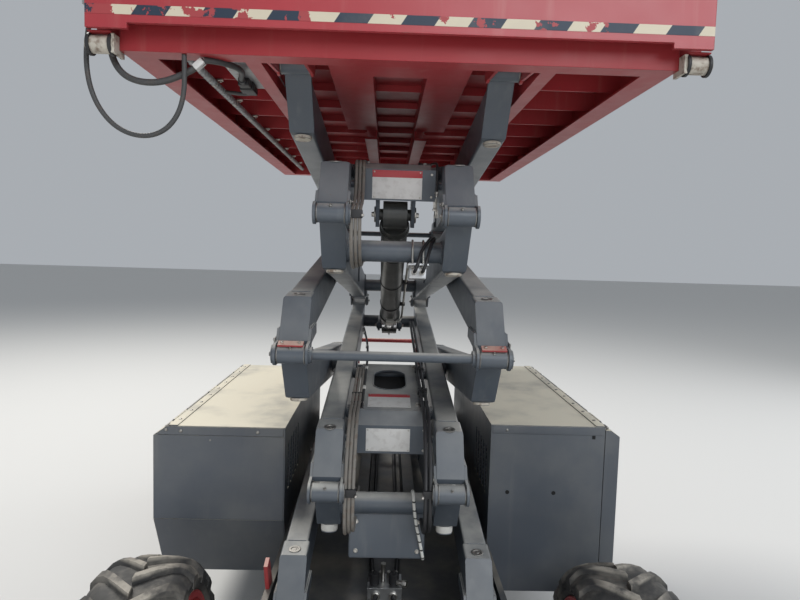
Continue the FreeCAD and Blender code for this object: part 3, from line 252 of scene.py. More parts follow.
def paint(name, colour, dust=(0.62, 0.56, 0.45), dusty=0.5, wear=0.6, gloss=0.38, chip=(0.16, 0.1, 0.07),
          rounded=0.0025, streaks=0.18, specular=0.5):
    """Sprayed enamel with orange peel, dust on what faces up, run-down streaks and chipped edges."""
    g = Graph(name)
    light = tuple(min(1.0, c * 1.08 + 0.004) for c in colour)
    dark = tuple(c * 0.87 for c in colour)
    base = g.mix(g.band(g.noise(1.3, 5.0), 0.25, 0.75), dark, light)
    runs = g.band(g.noise(3.0, 5.0, (9.0, 9.0, 0.7)), 0.54, 0.8)
    base = g.mix(g.times(runs, streaks), base, tuple(0.6 * a + 0.4 * b for a, b in zip(colour, dust)))
    up = g.band(g.axis(g.normal, "Z"), 0.35, 0.95)
    cover = g.times(up, g.band(g.noise(4.0, 6.0), 0.44 - 0.45 * dusty, 0.84 - 0.3 * dusty))
    film = g.times(g.band(g.noise(3.2, 6.0), 0.35, 0.85), 0.12 * dusty)
    cover = g.math("MAXIMUM", g.times(cover, min(1.0, 0.3 + dusty)), film)
    base = g.mix(cover, base, dust)
    edges = g.edge(0.004)
    bare = g.times(edges, g.band(g.noise(28.0, 5.0), 0.62 - 0.16 * wear, 0.7))
    spots = g.times(g.band(g.noise(75.0, 3.0), 0.745 - 0.03 * wear, 0.76), 0.8)
    bare = g.math("MAXIMUM", bare, spots)
    base = g.mix(g.times(bare, wear), base, chip)
    rough = g.plus(g.times(g.noise(14.0, 4.0), 0.22), gloss - 0.1)
    rough = g.plus(rough, g.times(cover, 0.35), True)
    g.link(rough, g.shader.inputs["Roughness"])
    peel = g.plus(g.times(g.noise(160.0, 2.0), 0.5), g.times(bare, -1.0))
    g.bump(peel, 0.3, 0.0007, rounded)
    g.set(Base_Color=base)
    g.shader.inputs["Specular IOR Level"].default_value = specular
    return g.material


def metal(name, colour, rough, brushed=None, spots=0.2):
    g = Graph(name)
    dull = g.band(g.noise(11.0, 5.0), 0.45, 0.75)
    base = g.mix(g.times(dull, spots), colour, tuple(c * 0.45 for c in colour))
    lines = g.noise(90.0, 3.0, brushed) if brushed else g.noise(120.0, 3.0)
    g.link(g.plus(g.times(lines, 0.25), rough - 0.1, True), g.shader.inputs["Roughness"])
    g.bump(lines, 0.25, 0.0004, 0.0015)
    g.set(Base_Color=base, Metallic=1.0)
    return g.material


def rubber(name):
    """Tyre rubber: dark in the grooves, pale with dust where it rubs the ground."""
    g = Graph(name)
    base = g.mix(g.band(g.noise(7.0, 6.0), 0.35, 0.7), (0.022, 0.022, 0.023), (0.05, 0.049, 0.047))
    x, z = g.axis(g.place, "X"), g.axis(g.place, "Z")
    along = g.math("SUBTRACT", g.math("ABSOLUTE", x), AXLE_X["front"])
    up = g.math("SUBTRACT", z, WHEEL_RADIUS)
    square = g.plus(g.times(along, along), g.times(up, up))
    worn = g.band(g.math("SQRT", square), 0.304, 0.317)
    soil = g.times(g.band(g.noise(11.0, 6.0), 0.42, 0.7), 0.4)
    soil = g.math("MAXIMUM", soil, g.times(worn, g.band(g.noise(18.0, 5.0), 0.25, 0.6)))
    base = g.mix(g.times(soil, 0.9), base, (0.36, 0.33, 0.28))
    g.link(g.plus(g.times(g.noise(30.0), 0.2), 0.62), g.shader.inputs["Roughness"])
    g.bump(g.noise(220.0, 3.0), 0.4, 0.0008)
    g.set(Base_Color=base)
    return g.material


def deck_metal(name, colour, under):
    """Raised lozenges in two directions on what faces up, red paint on sides and underneath."""
    g = Graph(name)
    x, y = g.axis(g.place, "X"), g.axis(g.place, "Y")
    heights = []
    for sign, shift in ((1, 0.0), (-1, 0.5)):
        along = g.plus(x, g.times(y, sign))
        across = g.math("SUBTRACT", x, g.times(y, sign))
        steps = []
        for value in (along, across):
            step = g.math("FRACT", g.plus(g.times(value, 22.0), shift))
            steps.append(g.math("ABSOLUTE", g.math("SUBTRACT", step, 0.5)))
        distance = g.plus(g.times(steps[0], 2.2), g.times(steps[1], 7.5))
        heights.append(g.band(distance, 0.95, 0.7))
    up = g.band(g.axis(g.normal, "Z"), 0.8, 0.95)
    raised = g.times(g.math("MAXIMUM", heights[0], heights[1]), up)
    base = g.mix(g.band(g.noise(2.5, 6.0), 0.35, 0.7), tuple(c * 0.78 for c in colour), colour)
    base = g.mix(g.times(g.band(g.noise(6.0, 6.0), 0.42, 0.66), 0.5), base, (0.42, 0.37, 0.3))
    base = g.mix(g.times(raised, 0.6), base, (0.5, 0.5, 0.5))
    red = g.mix(g.band(g.noise(2.0, 5.0), 0.3, 0.7), tuple(c * 0.85 for c in under), under)
    base = g.mix(up, red, base)
    g.link(g.plus(g.times(g.noise(20.0), 0.3), 0.35), g.shader.inputs["Roughness"])
    g.bump(raised, 1.0, 0.0018)
    g.set(Base_Color=base)
    return g.material


def hazard(name):
    """Leaning blocks of dark blue and cream, rubbed through to red in places."""
    g = Graph(name)
    y, z = g.axis(g.place, "Y"), g.axis(g.place, "Z")
    lean = g.math("SUBTRACT", y, g.times(z, 0.65))
    step = g.math("FRACT", g.times(g.plus(lean, 9.5785), 1 / 0.156))
    dark = g.band(step, 0.495, 0.505)
    base = g.mix(dark, (0.62, 0.55, 0.42), (0.016, 0.03, 0.055))
    base = g.mix(g.times(g.band(g.noise(6.0, 6.0), 0.5, 0.8), 0.25), base, (0.4, 0.36, 0.3))
    rub = g.noise(15.0, 6.0, (1.0, 1.0, 1.0), 0.65)
    worn = g.plus(rub, g.times(g.band(y, 0.0, -0.55), 0.085))
    rub = g.band(worn, 0.605, 0.615)
    base = g.mix(rub, base, (0.36, 0.05, 0.055))
    g.set(Base_Color=base, Roughness=0.5)
    g.bump(g.noise(120.0, 2.0), 0.2, 0.0005)
    return g.material


def ticked(name):
    """A pale spiral wrap crossed by dark bands."""
    g = Graph(name)
    step = g.math("FRACT", g.times(g.axis(g.place, "Z"), 38.0))
    base = g.mix(g.band(step, 0.8, 0.84), (0.66, 0.66, 0.62), (0.03, 0.03, 0.03))
    g.set(Base_Color=base, Roughness=0.45)
    g.bump(g.noise(200.0, 2.0), 0.3, 0.0005)
    return g.material


M = {}
GREY = (0.075, 0.091, 0.112)
RED = (0.34, 0.03, 0.036)


def make_materials():
    M["arm_grey"] = paint("arm_grey", GREY, dust=(0.5, 0.49, 0.45), dusty=0.55, wear=0.6, gloss=0.36)
    M["platform_red"] = paint("platform_red", RED, dusty=0.22, wear=0.5, gloss=0.38, chip=(0.1, 0.06, 0.05),
                              specular=0.3)
    M["chassis_red"] = paint("chassis_red", RED, dusty=0.45, wear=0.7, gloss=0.42)
    M["rim_red"] = paint("rim_red", (0.33, 0.028, 0.032), dusty=0.45, wear=0.6, gloss=0.4)
    # chassis paint: near-black, partly the chassis's own charcoal and partly painted shade of the pan under the
    # scissors; its dust is kept low for the same shade
    M["chassis_dark"] = paint("chassis_dark", (0.03, 0.036, 0.044), dust=(0.3, 0.27, 0.22), dusty=0.35, wear=0.5,
                              gloss=0.42)
    M["cabinet_grey"] = paint("cabinet_grey", (0.078, 0.09, 0.108), dust=(0.66, 0.62, 0.5), dusty=0.92,
                              wear=0.5, gloss=0.34, streaks=0.1)
    M["cylinder_paint"] = paint("cylinder_paint", (0.042, 0.045, 0.044), dusty=0.25, wear=0.3, gloss=0.4)
    M["panel_red"] = paint("panel_red", (0.4, 0.042, 0.052), dusty=0.2, wear=0.7, gloss=0.32)
    M["axle_black"] = paint("axle_black", (0.018, 0.018, 0.02), dusty=0.55, wear=0.5, gloss=0.45)
    M["tank_black"] = paint("tank_black", (0.016, 0.016, 0.018), dusty=0.35, wear=0.2, gloss=0.45)
    M["engine_grey"] = paint("engine_grey", (0.05, 0.055, 0.06), dusty=0.35, wear=0.2, gloss=0.6)
    M["rod_chrome"] = metal("rod_chrome", (0.8, 0.8, 0.81), 0.16, (40.0, 1.0, 1.0), 0.08)
    M["valve_metal"] = metal("valve_metal", (0.55, 0.56, 0.57), 0.42)
    M["zinc"] = metal("zinc", (0.56, 0.54, 0.5), 0.38, None, 0.4)
    M["steel"] = metal("steel", (0.33, 0.32, 0.3), 0.48, None, 0.5)
    M["deck_plate"] = deck_metal("deck_plate", (0.115, 0.118, 0.12), RED)
    M["tyre_rubber"] = rubber("tyre_rubber")
    M["box_plastic"] = plain("box_plastic", (0.022, 0.022, 0.024), 0.55, 0, 0.0006)
    M["roller_white"] = plain("roller_white", (0.62, 0.61, 0.57), 0.5, 0, 0.0006, 90.0)
    M["roller_worn"] = plain("roller_worn", (0.52, 0.48, 0.41), 0.6, 0, 0.0006, 90.0, 0.75)
    M["cable_black"] = plain("cable_black", (0.018, 0.018, 0.02), 0.52, 0, 0.0003)
    M["gland_grey"] = plain("gland_grey", (0.34, 0.35, 0.36), 0.5, 0, 0.0004, dirt=0.3)
    M["hose_beige"] = plain("hose_beige", (0.2, 0.185, 0.165), 0.62, 0, 0.0006, 500.0, 0.35)
    M["hose_black"] = plain("hose_black", (0.022, 0.022, 0.024), 0.5, 0, 0.0004, 500.0)
    M["cord_grey"] = plain("cord_grey", (0.062, 0.063, 0.064), 0.6, 0, 0.0004, 300.0, 0.15)
    M["label_white"] = plain("label_white", (0.72, 0.71, 0.69), 0.42, 0, 0.0002, 90.0, 0.15)
    M["label_red"] = plain("label_red", (0.48, 0.045, 0.055), 0.4)
    M["hazard"] = hazard("hazard")
    M["ticked"] = ticked("ticked")
    # near-black matte: painted shade, put where holes and hollows show only shadow
    M["painted_shade_black"] = plain("painted_shade_black", (0.01, 0.01, 0.011), 0.9)
    M["lever_red"] = plain("lever_red", (0.5, 0.02, 0.02), 0.38)
    M["button_yellow"] = plain("button_yellow", (0.75, 0.5, 0.02), 0.4)
    M["button_green"] = plain("button_green", (0.02, 0.25, 0.06), 0.4)


def dress_nodes():
    slot_of = {s["node"]: s["material_slot"] for s in frame["record"]["subparts"]}
    for node, obj in frame["nodes"].items():
        obj.data.materials.clear()
        slot = slot_of[node]
        obj.data.materials.append(M["roller_worn" if node == "nose_rollers" else slot])
        for polygon in obj.data.polygons:
            polygon.material_index = 0


# Mesh helpers

class Piece:
    """Collects forms into one mesh."""

    def __init__(self, matrix=None):
        self.bm = bmesh.new()
        self.matrix = matrix

    def add(self, part):
        mesh = bpy.data.meshes.new("part")
        part.to_mesh(mesh)
        part.free()
        self.bm.from_mesh(mesh)
        bpy.data.meshes.remove(mesh)
        return self

    def box(self, low, high, bevel=0.002, turn=None, segments=2):
        """turn is an (axis, degrees) pair about the box's middle."""
        part = bmesh.new()
        bmesh.ops.create_cube(part, size=1.0)
        size = [abs(b - a) for a, b in zip(low, high)]
        middle = Vector([(a + b) / 2 for a, b in zip(low, high)])
        bmesh.ops.scale(part, vec=size, verts=part.verts)
        if bevel:
            bmesh.ops.bevel(part, geom=part.edges[:], offset=min(bevel, 0.45 * min(size)), segments=segments,
                            affect="EDGES", profile=0.6)
        if turn:
            part.transform(Matrix.Rotation(radians(turn[1]), 4, turn[0]))
        bmesh.ops.translate(part, vec=middle, verts=part.verts)
        return self.add(part)

    def rod(self, start, end, radius, segments=20, bevel=0.0015):
        start, end = Vector(start), Vector(end)
        length = (end - start).length
        b = min(bevel, 0.3 * radius, 0.3 * length)
        rings = [(0, radius - b), (b, radius), (length - b, radius), (length, radius - b)]
        return self.lathe(rings, start, end - start, segments)

    def lathe(self, rings, start, axis, segments=24, closed=False):
        """Turn (along, radius) rings about an axis. Ends are capped unless the outline is closed."""
        part = bmesh.new()
        turn = Vector(axis).to_track_quat("Z", "Y").to_matrix()
        start = Vector(start)
        loops = []
        for along, radius in rings:
            loop = []
            for k in range(segments):
                angle = 2 * pi * k / segments
                point = Vector((radius * cos(angle), radius * sin(angle), along))
                loop.append(part.verts.new(start + turn @ point))
            loops.append(loop)
        pairs = list(zip(loops, loops[1:]))
        if closed:
            pairs.append((loops[-1], loops[0]))
        for a, b in pairs:
            for k in range(segments):
                n = (k + 1) % segments
                part.faces.new((a[k], a[n], b[n], b[k]))
        if not closed:
            part.faces.new(list(reversed(loops[0])))
            part.faces.new(loops[-1])
        return self.add(part)

    def ring(self, middle, axis, radius, thick, segments=32, sides=8):
        """A round bar bent to a ring."""
        rings = []
        for k in range(sides):
            angle = 2 * pi * k / sides
            rings.append((thick * sin(angle), radius + thick * cos(angle)))
        return self.lathe(rings, middle, axis, segments, True)

    def prism(self, outline, start, end, bevel=0.0015, across="Y"):
        """An outline of (x, z) points carried along Y, or of (y, z) points carried along X."""
        part = bmesh.new()
        if across == "Y":
            bottom = [part.verts.new((u, start, v)) for u, v in outline]
            top = [part.verts.new((u, end, v)) for u, v in outline]
        else:
            bottom = [part.verts.new((start, u, v)) for u, v in outline]
            top = [part.verts.new((end, u, v)) for u, v in outline]
        part.faces.new(bottom)
        part.faces.new(list(reversed(top)))
        count = len(outline)
        for k in range(count):
            n = (k + 1) % count
            part.faces.new((bottom[n], bottom[k], top[k], top[n]))
        bmesh.ops.recalc_face_normals(part, faces=part.faces)
        if bevel:
            bmesh.ops.bevel(part, geom=part.edges[:], offset=bevel, segments=2, affect="EDGES", profile=0.6)
        return self.add(part)

    def bolt(self, place, axis, size=0.008, washer=True):
        """A hexagon head on a washer, standing on place along axis."""
        axis = Vector(axis).normalized()
        place = Vector(place)
        if washer:
            rings = [(0, size * 1.25), (size * 0.2, size * 1.25), (size * 0.22, size * 1.1)]
            self.lathe(rings, place, axis, 20)
        seat = place + axis * size * 0.2
        return self.lathe([(0, size), (size * 0.85, size), (size * 1.0, size * 0.86)], seat, axis, 6)

    def dome(self, place, axis, size=0.006):
        """A low round head."""
        rings = [(0, size), (size * 0.2, size), (size * 0.38, size * 0.8), (size * 0.48, size * 0.4)]
        return self.lathe(rings, place, axis, 14)

    def weld(self, points, radius=0.0035):
        """A rippled bead along a line of points."""
        points = [Vector(p) for p in points]
        for a, b in zip(points, points[1:]):
            length = (b - a).length
            count = max(2, int(length / (radius * 1.6)))
            rings = []
            for k in range(count + 1):
                rings.append((length * k / count, radius * (1.0 if k % 2 else 0.86)))
            rings[0] = (0, radius * 0.5)
            rings[-1] = (length, radius * 0.5)
            self.lathe(rings, a, b - a, 8)
        return self

    def bead(self, middle, axis, radius, thick=0.0035, count=48):
        """A rippled bead round a tube."""
        frame_turn = Vector(axis).to_track_quat("Z", "Y").to_matrix()
        points = []
        for k in range(count + 1):
            angle = 2 * pi * k / count
            points.append(Vector(middle) + frame_turn @ Vector((radius * cos(angle), radius * sin(angle), 0)))
        return self.weld(points, thick)

    def pipe(self, points, radius, sides=10, steps=6):
        """A bent pipe or hose through points, rounded at the corners."""
        points = smooth_line([Vector(p) for p in points], steps)
        part = bmesh.new()
        loops = []
        side = Vector((0, 1, 0))
        for k, point in enumerate(points):
            ahead = points[min(k + 1, len(points) - 1)] - points[max(k - 1, 0)]
            ahead.normalize()
            side = side - ahead * side.dot(ahead)
            if side.length < 0.1:
                side = ahead.orthogonal()
            side.normalize()
            other = ahead.cross(side)
            loop = []
            for n in range(sides):
                angle = 2 * pi * n / sides
                loop.append(part.verts.new(point + radius * (cos(angle) * side + sin(angle) * other)))
            loops.append(loop)
        for a, b in zip(loops, loops[1:]):
            for n in range(sides):
                m = (n + 1) % sides
                part.faces.new((a[n], a[m], b[m], b[n]))
        part.faces.new(list(reversed(loops[0])))
        part.faces.new(loops[-1])
        return self.add(part)

    def fitting(self, place, axis, radius=0.009, length=0.026):
        """A hose end: ferrule, hexagon nut and stub."""
        axis = Vector(axis).normalized()
        place = Vector(place)
        self.lathe([(0, radius), (length * 0.5, radius), (length * 0.55, radius * 0.9)], place, axis, 16)
        self.lathe([(0, radius * 1.3), (length * 0.35, radius * 1.3), (length * 0.4, radius * 1.15)],
                   place + axis * length * 0.55, axis, 6)
        return self

    def done(self, name, body, slot, material=None, smooth=35):
        if self.matrix is not None:
            self.bm.transform(self.matrix)
        bmesh.ops.recalc_face_normals(self.bm, faces=self.bm.faces)
        mesh = bpy.data.meshes.new(name)
        self.bm.to_mesh(mesh)
        self.bm.free()
        obj = bpy.data.objects.new(name, mesh)
        bpy.context.collection.objects.link(obj)
        mesh.materials.append(M[material or slot])
        for polygon in mesh.polygons:
            polygon.use_smooth = True
        mesh.set_sharp_from_angle(angle=radians(smooth))
        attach(obj, body)
        return obj


def smooth_line(points, steps):
    """Points on a smooth curve that starts and ends at the given ends."""
    if len(points) < 3:
        return points
    line = [points[0]]
    knots = [points[0]] + [(a + b) / 2 for a, b in zip(points[1:-1], points[2:-1])] + [points[-1]]
    for k in range(len(knots) - 1):
        start, middle, end = knots[k], points[k + 1], knots[k + 1]
        for n in range(1, steps + 1):
            t = n / steps
            line.append(start * (1 - t) ** 2 + middle * 2 * t * (1 - t) + end * t ** 2)
    return line


def tube_along(name, points, diameter, body, material, resolution=10, sides=4):
    """A hanging cable along a smooth line through a few control points."""
    curve = bpy.data.curves.new(name, "CURVE")
    curve.dimensions = "3D"
    spline = curve.splines.new("NURBS")
    spline.points.add(len(points) - 1)
    for point, place in zip(spline.points, points):
        point.co = (*place, 1)
    spline.order_u = 3
    spline.use_endpoint_u = True
    spline.resolution_u = resolution
    curve.bevel_depth = diameter / 2
    curve.bevel_resolution = sides
    curve.use_fill_caps = True
    obj = bpy.data.objects.new(name, curve)
    bpy.context.collection.objects.link(obj)
    curve.materials.append(M[material])
    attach(obj, body)
    return obj


def from_low(span, rise):
    return (HALF_SPAN - span, rise - PIN_OFFSET)


def from_high(span, rise):
    return (-HALF_SPAN + span, rise + PIN_OFFSET)


def low_at(span, y, rise):
    x, z = from_low(span, rise)
    return Vector((x, y, z))


def high_at(span, y, rise):
    x, z = from_high(span, rise)
    return Vector((x, y, z))


def arm_matrix(kind, level):
    """From the level drawing of an arm (levels count from 1) to its place."""
    direction = DIRECTION[kind][level - 1]
    flip = Matrix.Scale(-1, 4, (1, 0, 0)) if direction < 0 else Matrix.Identity(4)
    turn = Matrix.Rotation(direction * TUBE_TILT, 4, "Y")
    move = Matrix.Translation((CENTRE_X, 0, BASE_PIN_Z + (level - 0.5) * LEVEL_RISE))
    return move @ turn @ flip


def both(value):
    return (value, -value)


# Hanging cables, on the same points as the model

CABLE_A = [
    (192, -756, 2168), (192, -759, 2120), (193, -765, 2072), (195, -764, 2022), (197, -754, 1972),
    (198, -733, 1926), (199, -700, 1888), (200, -658, 1866), (201, -612, 1862), (201, -571, 1879),
    (200, -543, 1914), (199, -529, 1959), (199, -526, 2008), (198, -528, 2060),
]
CABLE_B = [
    (172, -715, 2140), (173, -718, 2092), (176, -708, 2047), (180, -684, 2014), (183, -650, 1998),
    (185, -611, 1994), (184, -573, 2001), (182, -537, 2017), (181, -503, 2036), (180, -484, 2054),
]


def make_cable(name, route, diameter):
    points = [(PIN_X + x / 1000, y / 1000, z / 1000) for x, y, z in route]
    cable = tube_along(name + "_cord", points, diameter, "platform", "cord_grey", 16, 6)
    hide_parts(name)


# Scissor arms

def make_bumpers():
    """White stops under the high end of every arm; those that rise forward above the first level are worn thin."""
    x, z = from_high(0.188, -PIN_OFFSET - HALF_TUBE)
    for kind in (INNER, OUTER):
        for level in range(1, 5):
            worn = DIRECTION[kind][level - 1] < 0 and level > 1
            height = 0.0098 if worn else 0.0262
            piece = Piece(arm_matrix(kind, level))
            for y in both(MIDDLE[kind]):
                profile = [(0, 0.0262), (0.003, 0.0268), (height * 0.72, 0.0262), (height * 0.92, 0.024),
                           (height, 0.02)]
                piece.lathe(profile, (x, y, z), (0, 0, -1), 32)
            body = "%s_%d" % (kind, level)
            piece.done("bumpers_" + body, body, "roller_white", "roller_worn" if worn else "roller_white")


def make_arm_fixings(kind, level):
    """Plugs on top, pin fixings and grease nipples of one pair of arms."""
    middle = MIDDLE[kind]
    body = "%s_%d" % (kind, level)
    out = 1 if kind == OUTER else -1
    piece = Piece(arm_matrix(kind, level))
    for side in (1, -1):
        y = side * middle
        facing = Vector((0, side * out, 0))
        # plug in the top of the boxed end
        top = low_at(0.138 if kind == INNER else 0.157, y, PLATE_TOP)
        piece.lathe([(-0.001, 0.019), (0.0015, 0.019), (0.0026, 0.0175), (0.0026, 0.012), (0.0006, 0.011),
                     (0.0006, 0.006), (0.0016, 0.005)], top, (0, 0, 1), 28)
        # low pin: bolt in its head, keeper bar across the boss
        head = low_at(0, y + side * out * (EAR_OUTER + PIN_HEAD), 0)
        piece.lathe([(-0.001, 0.019), (0.0012, 0.018), (0.0012, 0.012), (0.0004, 0.011)], head, facing, 28)
        piece.bolt(head, facing, 0.0065)
        keeper = low_at(0.04, y + side * out * EAR_OUTER, 0.03)
        piece.box(keeper - Vector((0.018, 0.0, 0.008)), keeper + Vector((0.018, side * out * 0.004, 0.008)), 0.0012)
        piece.bolt(keeper + Vector((-0.008, side * out * 0.004, 0)), facing, 0.0045)
        # high pin: thrust washers beside the barrel, grease nipple under the saddle
        for end in (1, -1):
            edge = high_at(0, y + end * (CAP_HALF - 0.003), 0)
            piece.ring(edge, (0, 1, 0), 0.0262, 0.002, 28, 6)
        nipple = high_at(-0.022, y, 0.016)
        piece.lathe([(0, 0.0045), (0.003, 0.0045), (0.004, 0.0028), (0.008, 0.0028), (0.01, 0.0016)],
                    nipple, (-1, 0, 0.7), 10)
        # centre pin
        if kind == OUTER:
            face = Vector((0, y + side * (TUBE_HALF_WIDTH + 0.005), 0))
            piece.lathe([(0, 0.03), (0.004, 0.03), (0.005, 0.028), (0.005, 0.019)], face, (0, side, 0), 32)
            piece.bolt(face + Vector((0, side * 0.004, 0)), (0, side, 0), 0.011)
            for k in range(3):
                angle = 2 * pi * k / 3 + 0.5
                spot = face + Vector((0.0365 * cos(angle), -side * 0.001, 0.0365 * sin(angle)))
                piece.bolt(spot, (0, side, 0), 0.0045, False)
    piece.done("fixings_" + body, body, "arm_grey", "steel")


def make_arm_welds(kind, level):
    """Beads where ears, boxed ends, saddles and cross tubes are joined."""
    body = "%s_%d" % (kind, level)
    middle = MIDDLE[kind]
    piece = Piece(arm_matrix(kind, level))
    for side in (1, -1):
        for inner in (1, -1):
            y = side * middle + inner * (CAP_HALF + 0.0015)
            piece.weld([low_at(0.064, y, 0.0605), low_at(0.19, y, 0.0485), low_at(0.1915, y, 0.017),
                        low_at(0.072, y, 0.0155)], 0.0032)
            y = side * middle + inner * (TUBE_HALF_WIDTH + 0.0015)
            piece.weld([low_at(0.2065, y, PLATE_TOP - 0.01), low_at(0.2065, y, PIN_OFFSET - HALF_TUBE + 0.01)], 0.0032)
        y = side * middle
        piece.weld([low_at(0.2065, y - 0.03, PLATE_TOP), low_at(0.2065, y + 0.03, PLATE_TOP)], 0.003)
        if kind == INNER:
            edge = side * (middle - TUBE_HALF_WIDTH - 0.001)
            piece.bead(high_at(0.195, edge, -PIN_OFFSET), (0, 1, 0), 0.0335, 0.0034, 30)
            if level in (1, 3):
                piece.bead(low_at(0.195, side * (middle - CAP_HALF - 0.001), PIN_OFFSET), (0, 1, 0), 0.0335, 0.0034, 30)
        if kind == OUTER:
            piece.bead(low_at(0, side * (middle - EAR_OUTER - 0.001), 0), (0, 1, 0), 0.0235, 0.0028, 26)
    piece.done("welds_" + body, body, "arm_grey")


def make_label(name, body, matrix, place, size, normal, header):
    """A blank plate with four rivets and a coloured head. size is half width and half height; header a share."""
    up = Vector((0, 0, 1)) if abs(normal[0]) > 0.5 else Vector((-1, 0, 0))
    side = Vector((0, 1, 0))
    normal = Vector(normal)
    thick = 0.0012
    place = Vector(place)

    def slab(low, high, depth):
        corners = [place + side * a * size[0] + up * b * size[1] + normal * c for a, b, c in
                   ((-1, low, 0), (1, high, depth))]
        lower = [min(a, b) for a, b in zip(*corners)]
        upper = [max(a, b) for a, b in zip(*corners)]
        return lower, upper

    split = 1 - 2 * header
    sheet = Piece(matrix)
    sheet.box(*slab(-1, split if header else 1, thick), 0.0004)
    sheet.done(name, body, "arm_grey", "label_white")
    if header:
        head = Piece(matrix)
        head.box(*slab(split, 1, thick), 0.0004)
        head.done(name + "_head", body, "arm_grey", "label_red")
    rivets = Piece(matrix)
    for a in both(0.92):
        for b in both(0.88):
            rivets.dome(place + side * a * size[0] + up * b * size[1] + normal * thick, normal, 0.0028)
    rivets.done(name + "_rivets", body, "arm_grey", "zinc")


def make_plate_fixings(level):
    """Bolts and welds of the plate and flange on an inner pair that rises to the back."""
    body = "inner_%d" % level
    matrix = arm_matrix(INNER, level)
    low_rise, top_rise = (0.008, 0.106) if level == 2 else (0.03, 0.128)
    piece = Piece(matrix)
    for span in (0.34, 0.76):
        for y in both(0.094):
            piece.bolt(low_at(span, y, PLATE_TOP), (0, 0, 1), 0.007)
    for y in both(0.112):
        for rise in (low_rise + 0.014, top_rise - 0.014):
            piece.bolt(low_at(0.25, y, rise), (1, 0, 0), 0.0042, False)
    piece.done("plate_bolts_" + body, body, "arm_grey", "zinc")
    rim = Piece(matrix)
    for span in (0.34, 0.76):
        for side in (1, -1):
            rim.bead(low_at(span, side * 0.14, 0.118), (0, 1, 0), 0.0205, 0.003, 22)
    rim.weld([low_at(0.2985, -0.107, PLATE_TOP - 0.0005), low_at(0.2985, 0.107, PLATE_TOP - 0.0005)], 0.0025)
    # rolled edge round the oval hole
    ring = []
    reach, radius = 0.052, 0.0615
    for k in range(41):
        angle = 2 * pi * k / 40
        shift = reach if cos(angle) > 0 else -reach
        ring.append(low_at(0.604 - shift - radius * cos(angle), radius * sin(angle), PLATE_TOP + 0.0005))
    rim.pipe(ring, 0.0022, 6, 2)
    rim.done("plate_welds_" + body, body, "arm_grey")
    if level == 2:
        # near-black sheet under the oval hole: painted shade of the hollow below the plate
        floor = Piece(matrix)
        floor.box(low_at(0.86, -0.104, 0.108), low_at(0.31, 0.104, 0.112), 0.0)
        floor.done("plate_hole_shade", body, "arm_grey", "painted_shade_black")


def make_labels():
    high, low = arm_matrix(INNER, 4), arm_matrix(INNER, 2)
    make_label("label_a", "inner_4", high, low_at(0.2498, 0.003, 0.08), (0.079, 0.0445), (1, 0, 0), 0.25)
    make_label("label_c", "inner_2", low, low_at(0.2498, -0.004, 0.056), (0.072, 0.0395), (1, 0, 0), 0.0)
    make_label("label_c_plate", "inner_2", low, low_at(0.38, -0.002, PLATE_TOP), (0.073, 0.062), (0, 0, 1), 0.24)


# Hoses. Where a run crosses a pivot it is split on the pivot's axis, under the clamp.

def hose(name, body, matrix, rows, radius, material, ends=()):
    """rows are points of the run; ends are the places (0 first, 1 last) that get a fitting."""
    piece = Piece(matrix)
    piece.pipe(rows, radius, 12, 7)
    piece.done(name, body, "cable_black", material)
    if ends:
        caps = Piece(matrix)
        for end in ends:
            a, b = (rows[0], rows[1]) if end == 0 else (rows[-1], rows[-2])
            caps.fitting(a, Vector(b) - Vector(a), radius * 1.25, radius * 4.6)
        caps.done(name + "_ends", body, "valve_metal", "zinc")


def pivot_bundle(name, upper, ys, upper_rows, lower_rows, radius, material):
    """Hoses over the low pins of inner arms at a level: upper rides that pair, lower the pair below it.

    upper_rows are (span, rise) from the upper pair's low pin. lower_rows are (x, z) from the pivot's axis.
    """
    lower = upper - 1
    matrix = arm_matrix(INNER, upper)
    pivot = matrix @ low_at(0, 0, 0)
    for k, y in enumerate(ys):
        rows = [low_at(span, y, rise) for span, rise in upper_rows] + [low_at(0, y, 0)]
        hose("%s_upper_%d" % (name, k + 1), "inner_%d" % upper, matrix, rows, radius, material)
        rows = [Vector((pivot.x, y, pivot.z))]
        for x, z in lower_rows:
            rows.append(Vector((pivot.x + x - 0.003 * k * (x < -0.02), y, pivot.z + z + 0.004 * k)))
        hose("%s_lower_%d" % (name, k + 1), "inner_%d" % lower, None, rows, radius, material)
    low_y, high_y = min(ys) - radius, max(ys) + radius
    clamp = Piece()
    clamp.box((pivot.x - radius - 0.003, low_y - 0.003, pivot.z - 0.012),
              (pivot.x + radius + 0.003, high_y + 0.003, pivot.z + 0.012), 0.003)
    clamp.done(name + "_clamp", "inner_%d" % upper, "cable_black")
    ends = Piece()
    for y in (low_y - 0.0035, high_y + 0.0035):
        ends.rod((pivot.x + radius + 0.001, y, pivot.z - 0.004), (pivot.x + radius + 0.014, y, pivot.z - 0.004), 0.004)
    ends.done(name + "_clips", "inner_%d" % upper, "valve_metal", "zinc")
    ties = Piece(matrix)
    for span in (0.42, 0.33):
        ties.box(low_at(span + 0.003, low_y - 0.0008, PLATE_TOP),
                 low_at(span - 0.003, high_y + 0.0008, upper_rows[3][1] + radius + 0.001), 0.001)
    ties.done(name + "_ties", "inner_%d" % upper, "cable_black")


